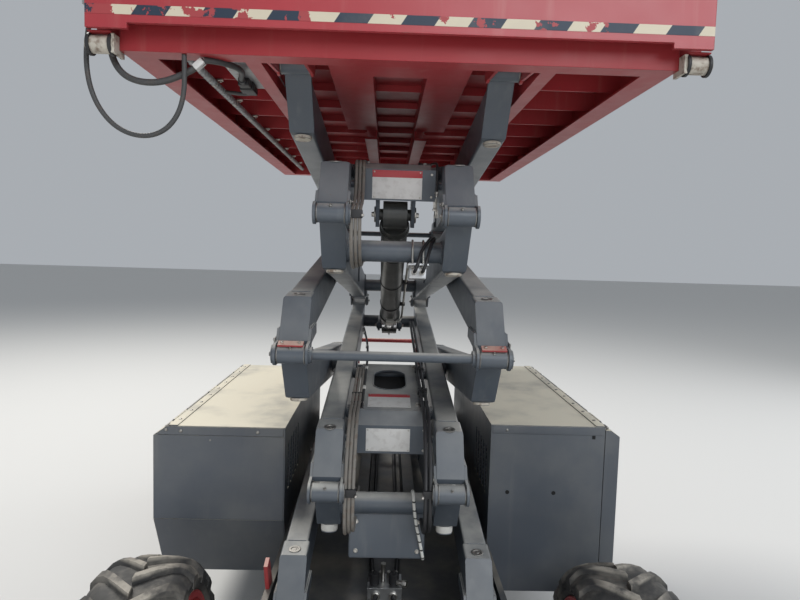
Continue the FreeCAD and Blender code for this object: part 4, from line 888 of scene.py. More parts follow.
def make_hoses():
    left_a, left_c = (-0.126, -0.1145, -0.103), (-0.126, -0.1145, -0.103)
    # span, rise
    over_flange_4 = [(0.9, 0.09), (0.76, 0.1475), (0.6, 0.149), (0.3, 0.149), (0.246, 0.149), (0.236, 0.11),
                     (0.215, 0.06), (0.15, 0.022), (0.07, 0.022)]
    over_flange_2 = [(0.9, 0.09), (0.76, 0.148), (0.6, 0.15), (0.345, 0.151), (0.262, 0.162), (0.205, 0.166),
                     (0.13, 0.14), (0.06, 0.08), (0.015, 0.03)]
    # x, z from the pivot
    loop_a = [(-0.004, -0.05), (-0.026, -0.105), (-0.08, -0.142), (-0.15, -0.156), (-0.235, -0.152),
              (-0.32, -0.13), (-0.43, -0.145)]
    loop_c = [(0.004, -0.055), (-0.004, -0.112), (-0.048, -0.148), (-0.12, -0.16), (-0.205, -0.156),
              (-0.3, -0.14), (-0.43, -0.158)]
    pivot_bundle("hoses_a", 4, left_a, over_flange_4, loop_a, 0.0054, "hose_beige")
    pivot_bundle("hoses_c", 2, left_c, over_flange_2, loop_c, 0.0054, "hose_beige")
    right_c = [(1.549, 0.15), (1.16, 0.155), (0.837, 0.155), (0.52, 0.156), (0.316, 0.158), (0.236, 0.165),
               (0.16, 0.15), (0.08, 0.09), (0.018, 0.034)]
    right_loop = [(0.006, -0.06), (-0.012, -0.118), (-0.07, -0.146), (-0.15, -0.154), (-0.24, -0.15),
                  (-0.34, -0.14)]
    pivot_bundle("conduits_c", 2, (0.109, 0.1225), right_c, right_loop, 0.0062, "hose_black")
    matrix = arm_matrix(INNER, 4)
    rows = [low_at(*p) for p in ((0.84, 0.128, 0.1), (0.6, 0.127, 0.153), (0.34, 0.127, 0.152),
                                 (0.262, 0.128, 0.15), (0.24, 0.129, 0.11), (0.236, 0.129, 0.045))]
    hose("hose_a_right", "inner_4", matrix, rows, 0.004, "hose_black", (1,))
    bracket = Piece(matrix)
    bracket.box(low_at(0.252, 0.118, 0.002), low_at(0.228, 0.133, 0.008), 0.001)
    bracket.box(low_at(0.256, 0.12, 0.002), low_at(0.252, 0.133, 0.04), 0.001)
    bracket.fitting(low_at(0.236, 0.129, 0.002), (0, 0, -1), 0.0065, 0.024)
    bracket.done("bracket_a_right", "inner_4", "valve_metal", "zinc")
    matrix = arm_matrix(INNER, 2)
    rows = [low_at(*p) for p in ((1.56, -0.138, 0.09), (1.43, -0.132, 0.15), (1.29, -0.12, 0.156),
                                 (1.137, -0.105, 0.152), (1.00, -0.097, 0.154), (0.9, -0.094, 0.154),
                                 (0.8, -0.0925, 0.151), (0.6, -0.0925, 0.149), (0.42, -0.0925, 0.149),
                                 (0.335, -0.0925, 0.149), (0.3, -0.093, 0.144))]
    hose("cable_b_left", "inner_2", matrix, rows, 0.0048, "hose_black")
    joints = Piece(matrix)
    for span, y in ((0.735, -0.0925), (0.5, -0.0925), (1.05, -0.1), (1.3, -0.121)):
        joints.lathe([(0, 0.0052), (0.004, 0.007), (0.026, 0.007), (0.03, 0.0052)], low_at(span, y, 0.1512),
                     (1, 0, 0), 16)
    joints.done("cable_b_joints", "inner_2", "roller_white")
    saddles = Piece(matrix)
    for span in (0.45, 0.7):
        saddles.box(low_at(span + 0.008, 0.099, PLATE_TOP), low_at(span - 0.008, 0.1325, PLATE_TOP + 0.022), 0.002)
        saddles.bolt(low_at(span, 0.1158, PLATE_TOP + 0.022), (0, 0, 1), 0.0045, False)
    saddles.done("conduit_saddles", "inner_2", "box_plastic")


def make_manifold():
    """Block hung from the cross tube of the third inner pair by two U-bolts, with its hoses."""
    matrix = arm_matrix(INNER, 3)
    middle = high_at(0.195, 0, -PIN_OFFSET)
    bolts = Piece(matrix)
    for y in (0.055, 0.088):
        rows = []
        for k in range(13):
            angle = pi * k / 12
            rows.append(middle + Vector((0.0365 * cos(angle), y, 0.0365 * sin(angle))))
        rows = [rows[0] - Vector((0, 0, 0.05))] + rows + [rows[-1] - Vector((0, 0, 0.05))]
        bolts.pipe(rows, 0.0034, 8, 2)
        for end in both(0.0365):
            bolts.bolt(middle + Vector((end, y, -0.047)), (0, 0, -1), 0.0065)
    bolts.done("u_bolts", "inner_3", "valve_metal", "zinc")
    block = Piece(matrix)
    block.box(middle + Vector((-0.05, 0.04, -0.046)), middle + Vector((0.05, 0.104, -0.04)), 0.001)
    block.box(middle + Vector((-0.03, 0.046, -0.084)), middle + Vector((0.03, 0.098, -0.047)), 0.002)
    block.done("manifold", "inner_3", "valve_metal")
    ports = Piece(matrix)
    for y in (0.06, 0.084):
        ports.fitting(middle + Vector((-0.03, y, -0.066)), (-1, 0, 0), 0.0075, 0.03)
        ports.fitting(middle + Vector((0.03, y, -0.066)), (1, 0, 0), 0.0075, 0.026)
    ports.done("manifold_ports", "inner_3", "valve_metal", "zinc")
    for k, y in enumerate((0.06, 0.084)):
        near = [(-0.058, y, -0.066), (-0.085, y, -0.07), (-0.093, y + 0.01, -0.042), (-0.07, y + 0.02, 0.000),
                (-0.03, 0.112 + 0.008 * k, 0.044), (0.06, 0.118 + 0.01 * k, 0.05), (0.26, 0.118 + 0.01 * k, 0.03)]
        rows = [middle + Vector(p) for p in near]
        hose("manifold_hose_%d" % (k + 1), "inner_3", matrix, rows, 0.0052, "hose_black")
        far = [(0.056, y, -0.066), (0.11, y, -0.066), (0.22, y + 0.012, -0.05), (0.42, 0.122, -0.02)]
        rows = [middle + Vector(p) for p in far]
        hose("manifold_line_%d" % (k + 1), "inner_3", matrix, rows, 0.0052, "hose_beige")


def make_shield():
    """Folded lips and bolts of the plate under the bottom cross tube, and a wrapped loom clipped to it."""
    matrix = arm_matrix(INNER, 1)
    middle = high_at(0.195, 0, -PIN_OFFSET)
    piece = Piece(matrix)
    for side in (1, -1):
        edge = side * 0.119
        piece.box(middle + Vector((-0.003, edge - 0.002, -0.17)), middle + Vector((0.016, edge + 0.002, -0.034)), 0.0008)
    piece.box(middle + Vector((-0.003, -0.118, -0.174)), middle + Vector((0.014, 0.118, -0.171)), 0.0008)
    piece.weld([middle + Vector((-0.005, -0.115, -0.0325)), middle + Vector((-0.005, 0.115, -0.0325))], 0.003)
    piece.done("shield_lips", "inner_1", "arm_grey")
    bolts = Piece(matrix)
    for y in both(0.098):
        for z in (-0.06, -0.152):
            bolts.bolt(middle + Vector((-0.003, y, z)), (-1, 0, 0), 0.0055)
    bolts.done("shield_bolts", "inner_1", "valve_metal", "zinc")
    rows = [middle + Vector(p) for p in ((0.05, 0.078, 0.000), (0.02, 0.079, 0.04), (-0.026, 0.081, 0.034),
                                         (-0.041, 0.084, -0.006), (-0.02, 0.092, -0.06), (-0.014, 0.104, -0.11),
                                         (-0.013, 0.114, -0.156), (-0.004, 0.118, -0.18), (0.024, 0.118, -0.17))]
    loom = Piece(matrix)
    loom.pipe(rows, 0.005, 12, 7)
    loom.done("wrapped_loom", "inner_1", "roller_white", "ticked")


def tilted(kind, level, place):
    return arm_matrix(kind, level) @ place


def make_cylinder_details():
    """Drawn along X from the upper eye, then turned into place."""
    tip = tilted(INNER, 4, low_at(CYL_TIP[0], 0, CYL_TIP[1]))
    base = tilted(INNER, 2, low_at(CYL_BASE[0], 0, CYL_BASE[1]))
    along = base - tip
    slope = atan2(-along.z, -along.x)
    matrix = Matrix.Translation(tip) @ Matrix.Rotation(pi - slope, 4, "Y")
    length, mouth, barrel = along.length, 1.3, 0.0475
    weld = Piece(matrix)
    for x, radius in ((0.0945, 0.049), (0.119, 0.049), (1.229, 0.049)):
        weld.bead((x, 0, 0), (1, 0, 0), radius, 0.003, 36)
    weld.box((0.02, -0.031, -0.031), (0.07, 0.031, 0.031), 0.004)
    weld.lathe([(0, 0.044), (0.004, 0.0455), (0.012, 0.0455), (0.016, 0.043), (0.016, 0.0315), (0.008, 0.0312)],
               (mouth - 0.001, 0, 0), (1, 0, 0), 40)
    weld.done("barrel_welds", "lift_barrel", "cylinder_paint")
    slots = Piece(matrix)
    for k in range(6):
        angle = 2 * pi * k / 6
        spot = Vector((mouth - 0.042, 0.0525 * cos(angle), 0.0525 * sin(angle)))
        slots.lathe([(-0.001, 0.0045), (0.0008, 0.0045), (0.0008, 0.003), (-0.0005, 0.0025)], spot,
                    (0, cos(angle), sin(angle)), 12)
    slots.done("gland_holes", "lift_barrel", "cylinder_paint", "steel")
    ports = Piece(matrix)
    for x in (0.15, 1.19):
        ports.box((x - 0.022, -0.018, barrel - 0.004), (x + 0.022, 0.018, barrel + 0.02), 0.003)
    ports.rod((0.15, 0.018, barrel + 0.009), (0.15, 0.036, barrel + 0.009), 0.01, 6)
    ports.rod((1.19, 0.018, barrel + 0.009), (1.19, 0.034, barrel + 0.009), 0.009, 6)
    ports.rod((0.172, 0, barrel + 0.009), (0.2, 0, barrel + 0.009), 0.012, 24)
    ports.rod((0.2, 0, barrel + 0.009), (0.236, 0, barrel + 0.009), 0.009, 20)
    ports.done("barrel_ports", "lift_barrel", "valve_metal", "zinc")
    line = Piece(matrix)
    line.pipe([(1.19, 0.032, barrel + 0.009), (1.19, 0.05, barrel + 0.009), (1.19, 0.06, 0.03),
               (1.15, 0.062, 0.012), (1.000, 0.062, 0.01), (0.5, 0.062, 0.01), (0.26, 0.062, 0.01),
               (0.2, 0.06, 0.03), (0.18, 0.05, 0.052), (0.15, 0.04, barrel + 0.009)], 0.005, 10, 6)
    line.done("barrel_line", "lift_barrel", "valve_metal", "zinc")
    straps = Piece(matrix)
    for x in (0.34, 0.68, 1.02):
        straps.ring((x, 0, 0), (1, 0, 0), barrel + 0.0012, 0.0018, 40, 6)
        straps.box((x - 0.008, 0.046, 0.002), (x + 0.008, 0.071, 0.018), 0.002)
    straps.done("barrel_straps", "lift_barrel", "box_plastic")
    eye = Piece(matrix)
    for side in (1, -1):
        eye.ring((length, side * 0.04, 0), (0, 1, 0), 0.03, 0.0025, 36, 6)
        eye.bolt((length, side * 0.0695, 0), (0, side, 0), 0.009)
    eye.lathe([(0, 0.0045), (0.003, 0.0045), (0.004, 0.0028), (0.009, 0.0028), (0.011, 0.0016)],
              (length, 0, 0.0445), (0, 0, 1), 10)
    eye.done("rod_eye_fixings", "lift_rod", "valve_metal", "zinc")
    keepers = Piece(matrix)
    for side in (1, -1):
        keepers.lathe([(0, 0.026), (0.004, 0.026), (0.005, 0.024)], (0, side * 0.0645, 0), (0, side, 0), 28)
        keepers.bolt((0, side * 0.069, 0), (0, side, 0), 0.008)
    keepers.done("tip_pin_keepers", "inner_4", "valve_metal", "zinc")


# Platform

def make_stripe():
    """Warning band along the foot of the front panel."""
    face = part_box("front_panel")[1][0]
    piece = Piece()
    piece.box((face - 0.0004, -0.7355, 2.1275), (face + 0.0008, 0.7355, 2.1495), 0.0)
    piece.done("hazard_band", "extension", "panel_red", "hazard")
    # hoods that close the gap between the panel's foot and the nose rollers
    hoods = Piece()
    for side in (1, -1):
        hoods.box((1.24, side * 0.684, 2.0925), (1.295, side * 0.739, 2.0965), 0.001)
        hoods.box((1.24, side * 0.684, 2.0925), (1.244, side * 0.739, 2.164), 0.001)
    hoods.done("roller_hoods", "platform", "platform_red")


def make_platform_details():
    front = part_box("platform_frame")[1][0]
    zinc = Piece()
    for x in (0.5, -0.1, -0.7):
        for y in both(0.678):
            zinc.bolt((x, y, 2.115), (0, 1 if y > 0 else -1, 0), 0.007)
    zinc.done("frame_bolts", "platform", "valve_metal", "zinc")
    beads = Piece()
    # rib joints along the side channels and the inner rails
    for k in range(8):
        x = PIN_X - 0.167 - 0.25 * k - 0.003
        for y in both(0.6715):
            beads.weld([(x - 0.0045, y, 2.105), (x - 0.0045, y, 2.16)], 0.003)
        for side in (1, -1):
            beads.weld([(x - 0.0045, side * 0.3935, 2.105), (x - 0.0045, side * 0.3935, 2.16)], 0.003)
            beads.weld([(x - 0.0045, side * 0.4, 2.1642), (x - 0.0045, side * 0.66, 2.1642)], 0.0028)
    for y in both(0.333):
        beads.weld([(front - 0.06, y, 2.063), (front - 0.06, y, 2.16)], 0.003)
    beads.done("frame_welds", "platform", "platform_red")
    rings = Piece()
    for side in (1, -1):
        x, z = PIN_X + 0.221, 2.07
        for y, radius in ((0.689, 0.0262), (0.7405, 0.0262)):
            rings.lathe([(-0.004, 0.0215), (-0.004, radius - 0.001), (-0.003, radius), (0.003, radius),
                         (0.004, radius - 0.001), (0.004, 0.0215)], (x, side * y, z), (0, 1, 0), 32, True)
    rings.done("roller_cheeks", "platform", "box_plastic")


def make_underside_wiring():
    """Jointed conduit, junction box and clamps on the right of the deck's underside."""
    y, z = -0.556, 2.0885
    conduit = Piece()
    xs = [1.12, 0.88, 0.63, 0.38, 0.13, -0.12, -0.37, -0.62, -0.87, -1.09]
    conduit.rod((xs[0], y, z), (xs[-1], y, z), 0.0088, 18)
    for a, b in zip(xs, xs[1:]):
        for k in range(1, 9):
            conduit.ring((a + (b - a) * k / 9, y, z), (1, 0, 0), 0.009, 0.0022, 18, 4)
    conduit.done("deck_conduit", "platform", "gland_grey")
    clamps = Piece()
    for k in range(8):
        x = PIN_X - 0.17 - 0.25 * k
        clamps.ring((x, y, z), (1, 0, 0), 0.0098, 0.0016, 20, 6)
        clamps.box((x - 0.007, y + 0.008, z + 0.007), (x + 0.007, y + 0.026, z + 0.0125), 0.001)
        clamps.bolt((x, y + 0.019, z + 0.007), (0, 0, -1), 0.0035, False)
    clamps.done("conduit_clamps", "platform", "valve_metal", "zinc")
    box = Piece()
    box.box((0.84, -0.478, 2.086), (1.066, -0.356, 2.1), 0.004)
    box.box((0.832, -0.484, 2.0965), (1.074, -0.35, 2.1004), 0.001)
    box.done("junction_box", "platform", "gland_grey")
    extra = Piece()
    for x in (0.854, 1.052):
        for yy in (-0.47, -0.366):
            extra.dome((x, yy, 2.086), (0, 0, -1), 0.0045)
    extra.done("junction_screws", "platform", "valve_metal", "zinc")
    plug = Piece()
    plug.box((0.84, -0.466, 2.064), (0.966, -0.434, 2.0865), 0.004)
    plug.box((0.88, -0.47, 2.06), (0.926, -0.43, 2.086), 0.003)
    plug.rod((0.966, -0.45, 2.0755), (0.986, -0.45, 2.0755), 0.011, 20)
    plug.box((1.07, -0.398, 2.085), (1.1, -0.366, 2.1), 0.003)
    plug.done("junction_plugs", "platform", "box_plastic")
    lead = Piece()
    lead.pipe([(1.23, -0.484, 2.054), (1.226, -0.47, 2.0555), (1.2, -0.44, 2.057), (1.14, -0.42, 2.062),
               (1.06, -0.43, 2.072), (1.01, -0.446, 2.0755), (0.98, -0.45, 2.0755)], 0.0078, 12, 6)
    lead.pipe([(0.842, -0.45, 2.075), (0.82, -0.458, 2.075), (0.8, -0.5, 2.078), (0.79, -0.552, 2.086)],
              0.006, 10, 6)
    lead.done("junction_leads", "platform", "cable_black", "cord_grey")
    tag = Piece()
    tag.box((1.2195, -0.511, 2.0345), (1.242, -0.483, 2.051), 0.003, ("X", 43))
    tag.done("cable_tag", "platform", "gland_grey", "label_white")


def make_rail_fittings():
    """Foot plates, joint sleeves and bolts of the guard rails."""
    top, mid = 3.27, 2.74
    feet = Piece()
    bolts = Piece()
    for y in both(0.72):
        side = 1 if y > 0 else -1
        for x in (1.23, 0.04, -1.15):
            feet.box((x - 0.042, y - 0.021, 2.17), (x + 0.042, y + 0.021, 2.1765), 0.0015)
            feet.lathe([(0, 0.0245), (0.058, 0.0245), (0.062, 0.0225), (0.062, 0.0192)], (x, y, 2.176), (0, 0, 1), 28)
            for dx in both(0.032):
                bolts.bolt((x + dx, y, 2.1765), (0, 0, 1), 0.006)
            bolts.bolt((x, y - side * 0.024, 2.208), (0, -side, 0), 0.006)
        for x in (0.64, -0.56):
            for z in (top, mid):
                feet.lathe([(-0.035, 0.0192), (-0.034, 0.0215), (0.034, 0.0215), (0.035, 0.0192)], (x, y, z),
                           (1, 0, 0), 28)
    feet.done("guard_feet", "platform", "platform_red")
    bolts.done("guard_bolts", "platform", "valve_metal", "zinc")
    feet = Piece()
    bolts = Piece()
    for y in both(0.67):
        side = 1 if y > 0 else -1
        for x in (1.278, 0.564, -0.15):
            feet.lathe([(0, 0.0205), (0.05, 0.0205), (0.054, 0.019), (0.054, 0.0162)], (x, y, 2.196), (0, 0, 1), 28)
            feet.bead((x, y, 2.197), (0, 0, 1), 0.021, 0.0028, 24)
            bolts.bolt((x, y - side * 0.02, 2.226), (0, -side, 0), 0.005)
        for x in (0.92, 0.21):
            for z in (top, mid):
                feet.lathe([(-0.03, 0.0162), (-0.029, 0.0182), (0.029, 0.0182), (0.03, 0.0162)], (x, y, z),
                           (1, 0, 0), 28)
    feet.done("extension_feet", "extension", "platform_red")
    bolts.done("extension_bolts", "extension", "valve_metal", "zinc")


def make_gate_details():
    latch = Piece()
    x = -1.15
    latch.box((x - 0.014, -0.318, 3.02), (x + 0.014, -0.262, 3.058), 0.003)
    latch.rod((x - 0.03, -0.29, 3.039), (x + 0.034, -0.29, 3.039), 0.006, 14)
    latch.lathe([(0, 0.006), (0.004, 0.012), (0.014, 0.014), (0.022, 0.011), (0.026, 0.005)], (x + 0.032, -0.29, 3.039),
                (1, 0, 0), 20)
    for z in (2.436, 3.136):
        latch.lathe([(0, 0.0165), (0.002, 0.0225), (0.012, 0.0225), (0.013, 0.0165)], (x, 0.275, z), (0, 0, 1), 24)
    latch.done("gate_latch", "gate", "valve_metal", "zinc")
    spring = Piece()
    coil = []
    for k in range(121):
        angle = 2 * pi * k / 12
        coil.append((x + 0.0205 * cos(angle), 0.275 + 0.0205 * sin(angle), 3.025 + 0.098 * k / 120))
    spring.pipe(coil, 0.0017, 6, 1)
    spring.done("gate_spring", "gate", "valve_metal", "steel")


def make_control_box():
    """Stick, buttons and leads on the platform's control box, which faces the deck."""
    slope = atan2(0.06, 0.18)
    normal = Vector((-cos(slope), 0, sin(slope)))
    up = Vector((sin(slope), 0, cos(slope)))
    matrix = Matrix((up.cross(normal), up, normal)).transposed().to_4x4()
    matrix = Matrix.Translation((1.1402, -0.31, 3.15)) @ matrix
    dark = Piece(matrix)
    dark.box((-0.118, -0.082, 0.000), (0.118, 0.08, 0.003), 0.001)
    dark.lathe([(0, 0.03), (0.006, 0.028), (0.014, 0.02), (0.02, 0.012), (0.026, 0.01)], (0.055, -0.01, 0.002),
               (0, 0, 1), 28)
    dark.lathe([(0, 0.0075), (0.06, 0.0085), (0.068, 0.017), (0.095, 0.0185), (0.108, 0.015), (0.112, 0.006)],
               (0.055, -0.01, 0.024), (0, 0.1, 1), 24)
    dark.done("control_face", "extension", "box_plastic")
    yellow = Piece(matrix)
    yellow.lathe([(0, 0.026), (0.003, 0.026), (0.004, 0.024)], (-0.07, 0.038, 0.003), (0, 0, 1), 32)
    yellow.done("stop_ring", "extension", "box_plastic", "button_yellow")
    red = Piece(matrix)
    red.lathe([(0, 0.011), (0.012, 0.012), (0.014, 0.0195), (0.022, 0.0205), (0.028, 0.016), (0.03, 0.006)],
              (-0.07, 0.038, 0.004), (0, 0, 1), 32)
    red.done("stop_button", "extension", "box_plastic", "lever_red")
    green = Piece(matrix)
    for k in range(3):
        spot = Vector((-0.095 + 0.03 * k, -0.035, 0.003))
        green.lathe([(0, 0.01), (0.004, 0.01), (0.006, 0.008), (0.01, 0.007), (0.011, 0.004)], spot, (0, 0, 1), 22)
    green.done("control_buttons", "extension", "box_plastic", "button_green")
    steel = Piece(matrix)
    for a in both(0.108):
        for b in both(0.07):
            steel.dome((a, b, 0.003), (0, 0, 1), 0.0042)
    for k in range(2):
        spot = Vector((-0.02, -0.04 + 0.045 * k, 0.003))
        steel.lathe([(0, 0.008), (0.003, 0.008), (0.005, 0.005), (0.02, 0.0028), (0.026, 0.0038)], spot,
                    (0.2, 0, 1), 16)
    steel.done("control_screws", "extension", "valve_metal", "zinc")
    lead = Piece()
    lead.pipe([(1.19, -0.42, 3.000), (1.19, -0.425, 2.96), (1.215, -0.44, 2.9), (1.245, -0.47, 2.84),
               (1.2565, -0.52, 2.79), (1.258, -0.6, 2.765), (1.262, -0.64, 2.745), (1.262, -0.652, 2.68),
               (1.262, -0.653, 2.5), (1.262, -0.653, 2.26), (1.262, -0.653, 2.2)], 0.0065, 12, 7)
    lead.done("control_lead", "extension", "cable_black")
    gland = Piece()
    gland.lathe([(0, 0.014), (0.006, 0.014), (0.008, 0.011), (0.026, 0.0085), (0.028, 0.007)], (1.19, -0.42, 3.001),
                (0, 0, -1), 20)
    for z in (2.62, 2.4):
        gland.box((1.253, -0.664, z - 0.004), (1.28, -0.644, z + 0.004), 0.001)
    gland.done("control_gland", "extension", "box_plastic")


# Cabinets

def make_cabinet_details(side_name):
    side = 1 if side_name == "left" else -1
    top = 0.985 if side_name == "left" else 0.955
    outer, x0, x1 = 0.789, -0.6, 0.6
    door_face = 0.844
    door = "door_" + side_name
    trim = Piece()
    # hinge strip along the top's outer edge, and the folded lip at the top of the end face
    trim.box((x0, side * 0.756, top - 0.0002), (x1, side * 0.7885, top + 0.003), 0.001)
    if side_name == "right":
        # a sheet over the whole front that also hides the door's end, folded back below
        near, far = x1 + 0.0004, x1 + 0.002
        sheet = [(0.376, 0.612), (0.843, 0.612), (0.843, top - 0.037), (0.8385, top - 0.034), (0.376, top - 0.034)]
        lip = [(0.378, top - 0.032), (0.8355, top - 0.032), (0.813, top - 0.0155), (0.798, top - 0.002),
               (0.378, top - 0.002)]
        trim.prism([(-y, z) for y, z in sheet], near, far, 0, "X")
        trim.prism([(-y, z) for y, z in lip], near, far + 0.001, 0, "X")
        trim.prism([(near, 0.611), (0.4804, 0.3598), (0.4818, 0.3591), (far, 0.611)], -0.843, -0.376, 0)
    for x in ((x0, x1) if side_name == "left" else (x0,)):
        out = 1 if x > 0 else -1
        trim.box((x, side * 0.378, top - 0.032), (x + out * 0.0022, side * 0.784, top - 0.002), 0.0007)
    trim.done("trim_" + side_name, "chassis", "cabinet_grey")
    knuckles = Piece()
    for k in range(30):
        x = x0 + 0.02 + 0.04 * k
        near = min(abs(x - (x0 + share * (x1 - x0))) for share in (0.12, 0.5, 0.88))
        if near > 0.085:
            knuckles.rod((x - 0.017, side * 0.797, top - 0.005), (x + 0.017, side * 0.797, top - 0.005), 0.0058, 14)
            knuckles.box((x - 0.017, side * 0.7885, top - 0.0065), (x + 0.017, side * 0.797, top - 0.0035), 0.0)
    knuckles.done("hinge_" + side_name, "chassis", "cabinet_grey", "steel")
    bolts = Piece()
    for k in range(9):
        bolts.dome((x0 + 0.075 + 0.131 * k, side * 0.772, top + 0.003), (0, 0, 1), 0.0065)
    front = x1 + 0.0022
    if side_name == "right":
        for y in (-0.745, -0.47):
            bolts.dome((x1 + 0.003, y, top - 0.018), (1, 0, 0), 0.0065)
        bolts.dome((x1 + 0.002, -0.64, top - 0.05), (1, 0, 0), 0.0035)
        bolts.lathe([(-0.004, 0.006), (0.001, 0.0065), (0.003, 0.005)], (x1 + 0.003, -0.797, top - 0.014), (1, 0, 0), 20)
    else:
        bolts.dome((front, 0.43, top - 0.018), (1, 0, 0), 0.005)
    bolts.done("cabinet_bolts_" + side_name, "chassis", "cabinet_grey", "steel")
    # slot, bolt holes and bottom openings drawn as flat near-black patches: painted shade inside the holes
    holes = Piece()
    if side_name == "left":
        holes.box((x1 - 0.001, 0.742, top - 0.046), (x1 + 0.0008, 0.754, top - 0.03), 0.0)
        for y in (0.44, 0.61):
            holes.lathe([(-0.001, 0.0075), (0.0008, 0.0075), (0.0006, 0.004)], (x1, y, 0.735), (1, 0, 0), 16)
    for x in (x0 + 0.12, x0 + 0.34):
        holes.box((x - 0.05, side * 0.45, 0.3575), (x + 0.05, side * 0.7, 0.3602), 0.0)
    holes.done("cabinet_hole_shade_" + side_name, "chassis", "cabinet_grey", "painted_shade_black")
    # vent blades and their frames in the wall that faces the scissors
    blades = Piece()
    for k in range(5):
        x = x1 - 0.09 - 0.062 * k
        for n in range(6):
            z = 0.714 + 0.03 * n
            blades.box((x - 0.0165, side * 0.3735, z - 0.001), (x + 0.0165, side * 0.3905, z + 0.001), 0.0,
                       ("X", side * -38))
    blades.done("vent_blades_" + side_name, "chassis", "cabinet_grey")
    # door: pressed panels, latches, vent slots
    face = Piece()
    for a, b in ((-0.56, -0.02), (0.02, 0.56)):
        low_z = 0.4
        if side_name == "right" and b > 0.3:
            b = 0.44
        face.box((a, side * (door_face - 0.002), low_z), (b, side * (door_face + 0.003), 0.86), 0.0022)
    face.done("door_panels_" + side_name, door, "cabinet_grey")
    latches = Piece()
    for x in both(0.3):
        latches.box((x - 0.045, side * (door_face + 0.0028), 0.44), (x + 0.045, side * (door_face + 0.0055), 0.5), 0.002)
        latches.box((x - 0.036, side * (door_face + 0.005), 0.45), (x + 0.036, side * (door_face + 0.0085), 0.484), 0.002)
        latches.lathe([(0, 0.007), (0.003, 0.007), (0.004, 0.004)], (x + 0.026, side * (door_face + 0.008), 0.492),
                      (0, side, 0), 16)
    latches.done("latches_" + side_name, door, "cabinet_grey", "box_plastic")
    slots = Piece()
    for k in range(7):
        for x in both(0.29):
            z = 0.65 + 0.026 * k
            slots.box((x - 0.09, side * (door_face + 0.002), z), (x + 0.09, side * (door_face + 0.0068), z + 0.01),
                      0.003, ("X", side * 22))
    slots.done("door_louvres_" + side_name, door, "cabinet_grey")


def make_contents():
    """What shows when the doors are open or through the vents: engine block and oil tank fittings."""
    low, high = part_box("engine_block")
    fins = Piece()
    for k in range(14):
        x = low[0] + 0.06 + 0.042 * k
        fins.box((x - 0.006, high[1] - 0.02, low[2] + 0.1), (x + 0.006, high[1] + 0.01, high[2] - 0.06), 0.002)
        fins.box((x - 0.006, low[1] - 0.014, low[2] + 0.08), (x + 0.006, low[1] + 0.02, high[2] - 0.05), 0.002)
    fins.box((low[0] + 0.05, low[1] + 0.03, high[2] - 0.01), (high[0] - 0.12, high[1] - 0.03, high[2] + 0.035), 0.012)
    fins.box((low[0] + 0.02, low[1] + 0.01, low[2] + 0.002), (high[0] - 0.02, high[1] - 0.01, low[2] + 0.07), 0.008)
    fins.done("engine_castings", "chassis", "engine_grey")
    parts = Piece()
    middle_y = (low[1] + high[1]) / 2
    parts.lathe([(0, 0.04), (0.02, 0.12), (0.03, 0.124), (0.032, 0.118), (0.016, 0.036)],
                (high[0], middle_y, low[2] + 0.2), (1, 0, 0), 40)
    parts.rod((low[0] + 0.12, low[1] - 0.04, low[2] + 0.11), (low[0] + 0.12, low[1] - 0.002, low[2] + 0.11), 0.034, 28)
    parts.rod((low[0] + 0.1, middle_y, high[2] + 0.03), (low[0] + 0.1, middle_y, high[2] + 0.075), 0.03, 28)
    parts.done("engine_fittings", "chassis", "engine_grey", "steel")
    low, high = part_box("oil_tank")
    tank = Piece()
    tank.lathe([(0, 0.04), (0.012, 0.04), (0.014, 0.033), (0.03, 0.033), (0.034, 0.03)],
               (high[0] - 0.1, (low[1] + high[1]) / 2, high[2]), (0, 0, 1), 32)
    tank.lathe([(0, 0.05), (0.006, 0.05), (0.01, 0.044), (0.06, 0.042), (0.066, 0.036)],
               (low[0] + 0.12, (low[1] + high[1]) / 2, high[2]), (0, 0, 1), 32)
    tank.box((low[0] + 0.2, high[1], low[2] + 0.1), (low[0] + 0.225, high[1] + 0.008, high[2] - 0.1), 0.002)
    tank.done("tank_fittings", "chassis", "tank_black", "steel")


# Chassis

def make_chassis_details():
    bolts = Piece()
    for y in (-0.3, -0.1, 0.1, 0.3):
        for z in (0.4, 0.52):
            bolts.bolt((1.25, y, z), (1, 0, 0), 0.009)
    for x in (1.15, 0.75, -0.75, -1.15):
        for y in both(0.372):
            for z in (0.395, 0.525):
                bolts.bolt((x, y - (0.012 if y > 0 else -0.012), z), (0, 1 if y > 0 else -1, 0), 0.008)
    bolts.done("chassis_bolts", "chassis", "chassis_dark", "steel")
    beads = Piece()
    for side in (1, -1):
        y = side * OUTER_Y
        foot = 0.379
        corners = [(1.0205, y - side * 0.037, foot), (1.0795, y - side * 0.037, foot), (1.0795, y + side * 0.037, foot),
                   (1.0205, y + side * 0.037, foot), (1.0205, y - side * 0.037, foot)]
        beads.weld(corners, 0.004)
        beads.weld([(-1.068, side * 0.129, 0.456), (0.168, side * 0.129, 0.456)], 0.0035)
    beads.done("chassis_welds", "chassis", "chassis_dark")
    # gussets beside the pedestals of the fixed pins
    ribs = Piece()
    for side in (1, -1):
        for inner in (0.036, -0.036):
            y = side * (OUTER_Y + inner)
            outline = [(0.95, 0.378), (1.023, 0.378), (1.023, 0.46)]
            ribs.prism(outline, y - 0.004, y + 0.004, 0.001)
    ribs.done("pedestal_gussets", "chassis", "chassis_dark")


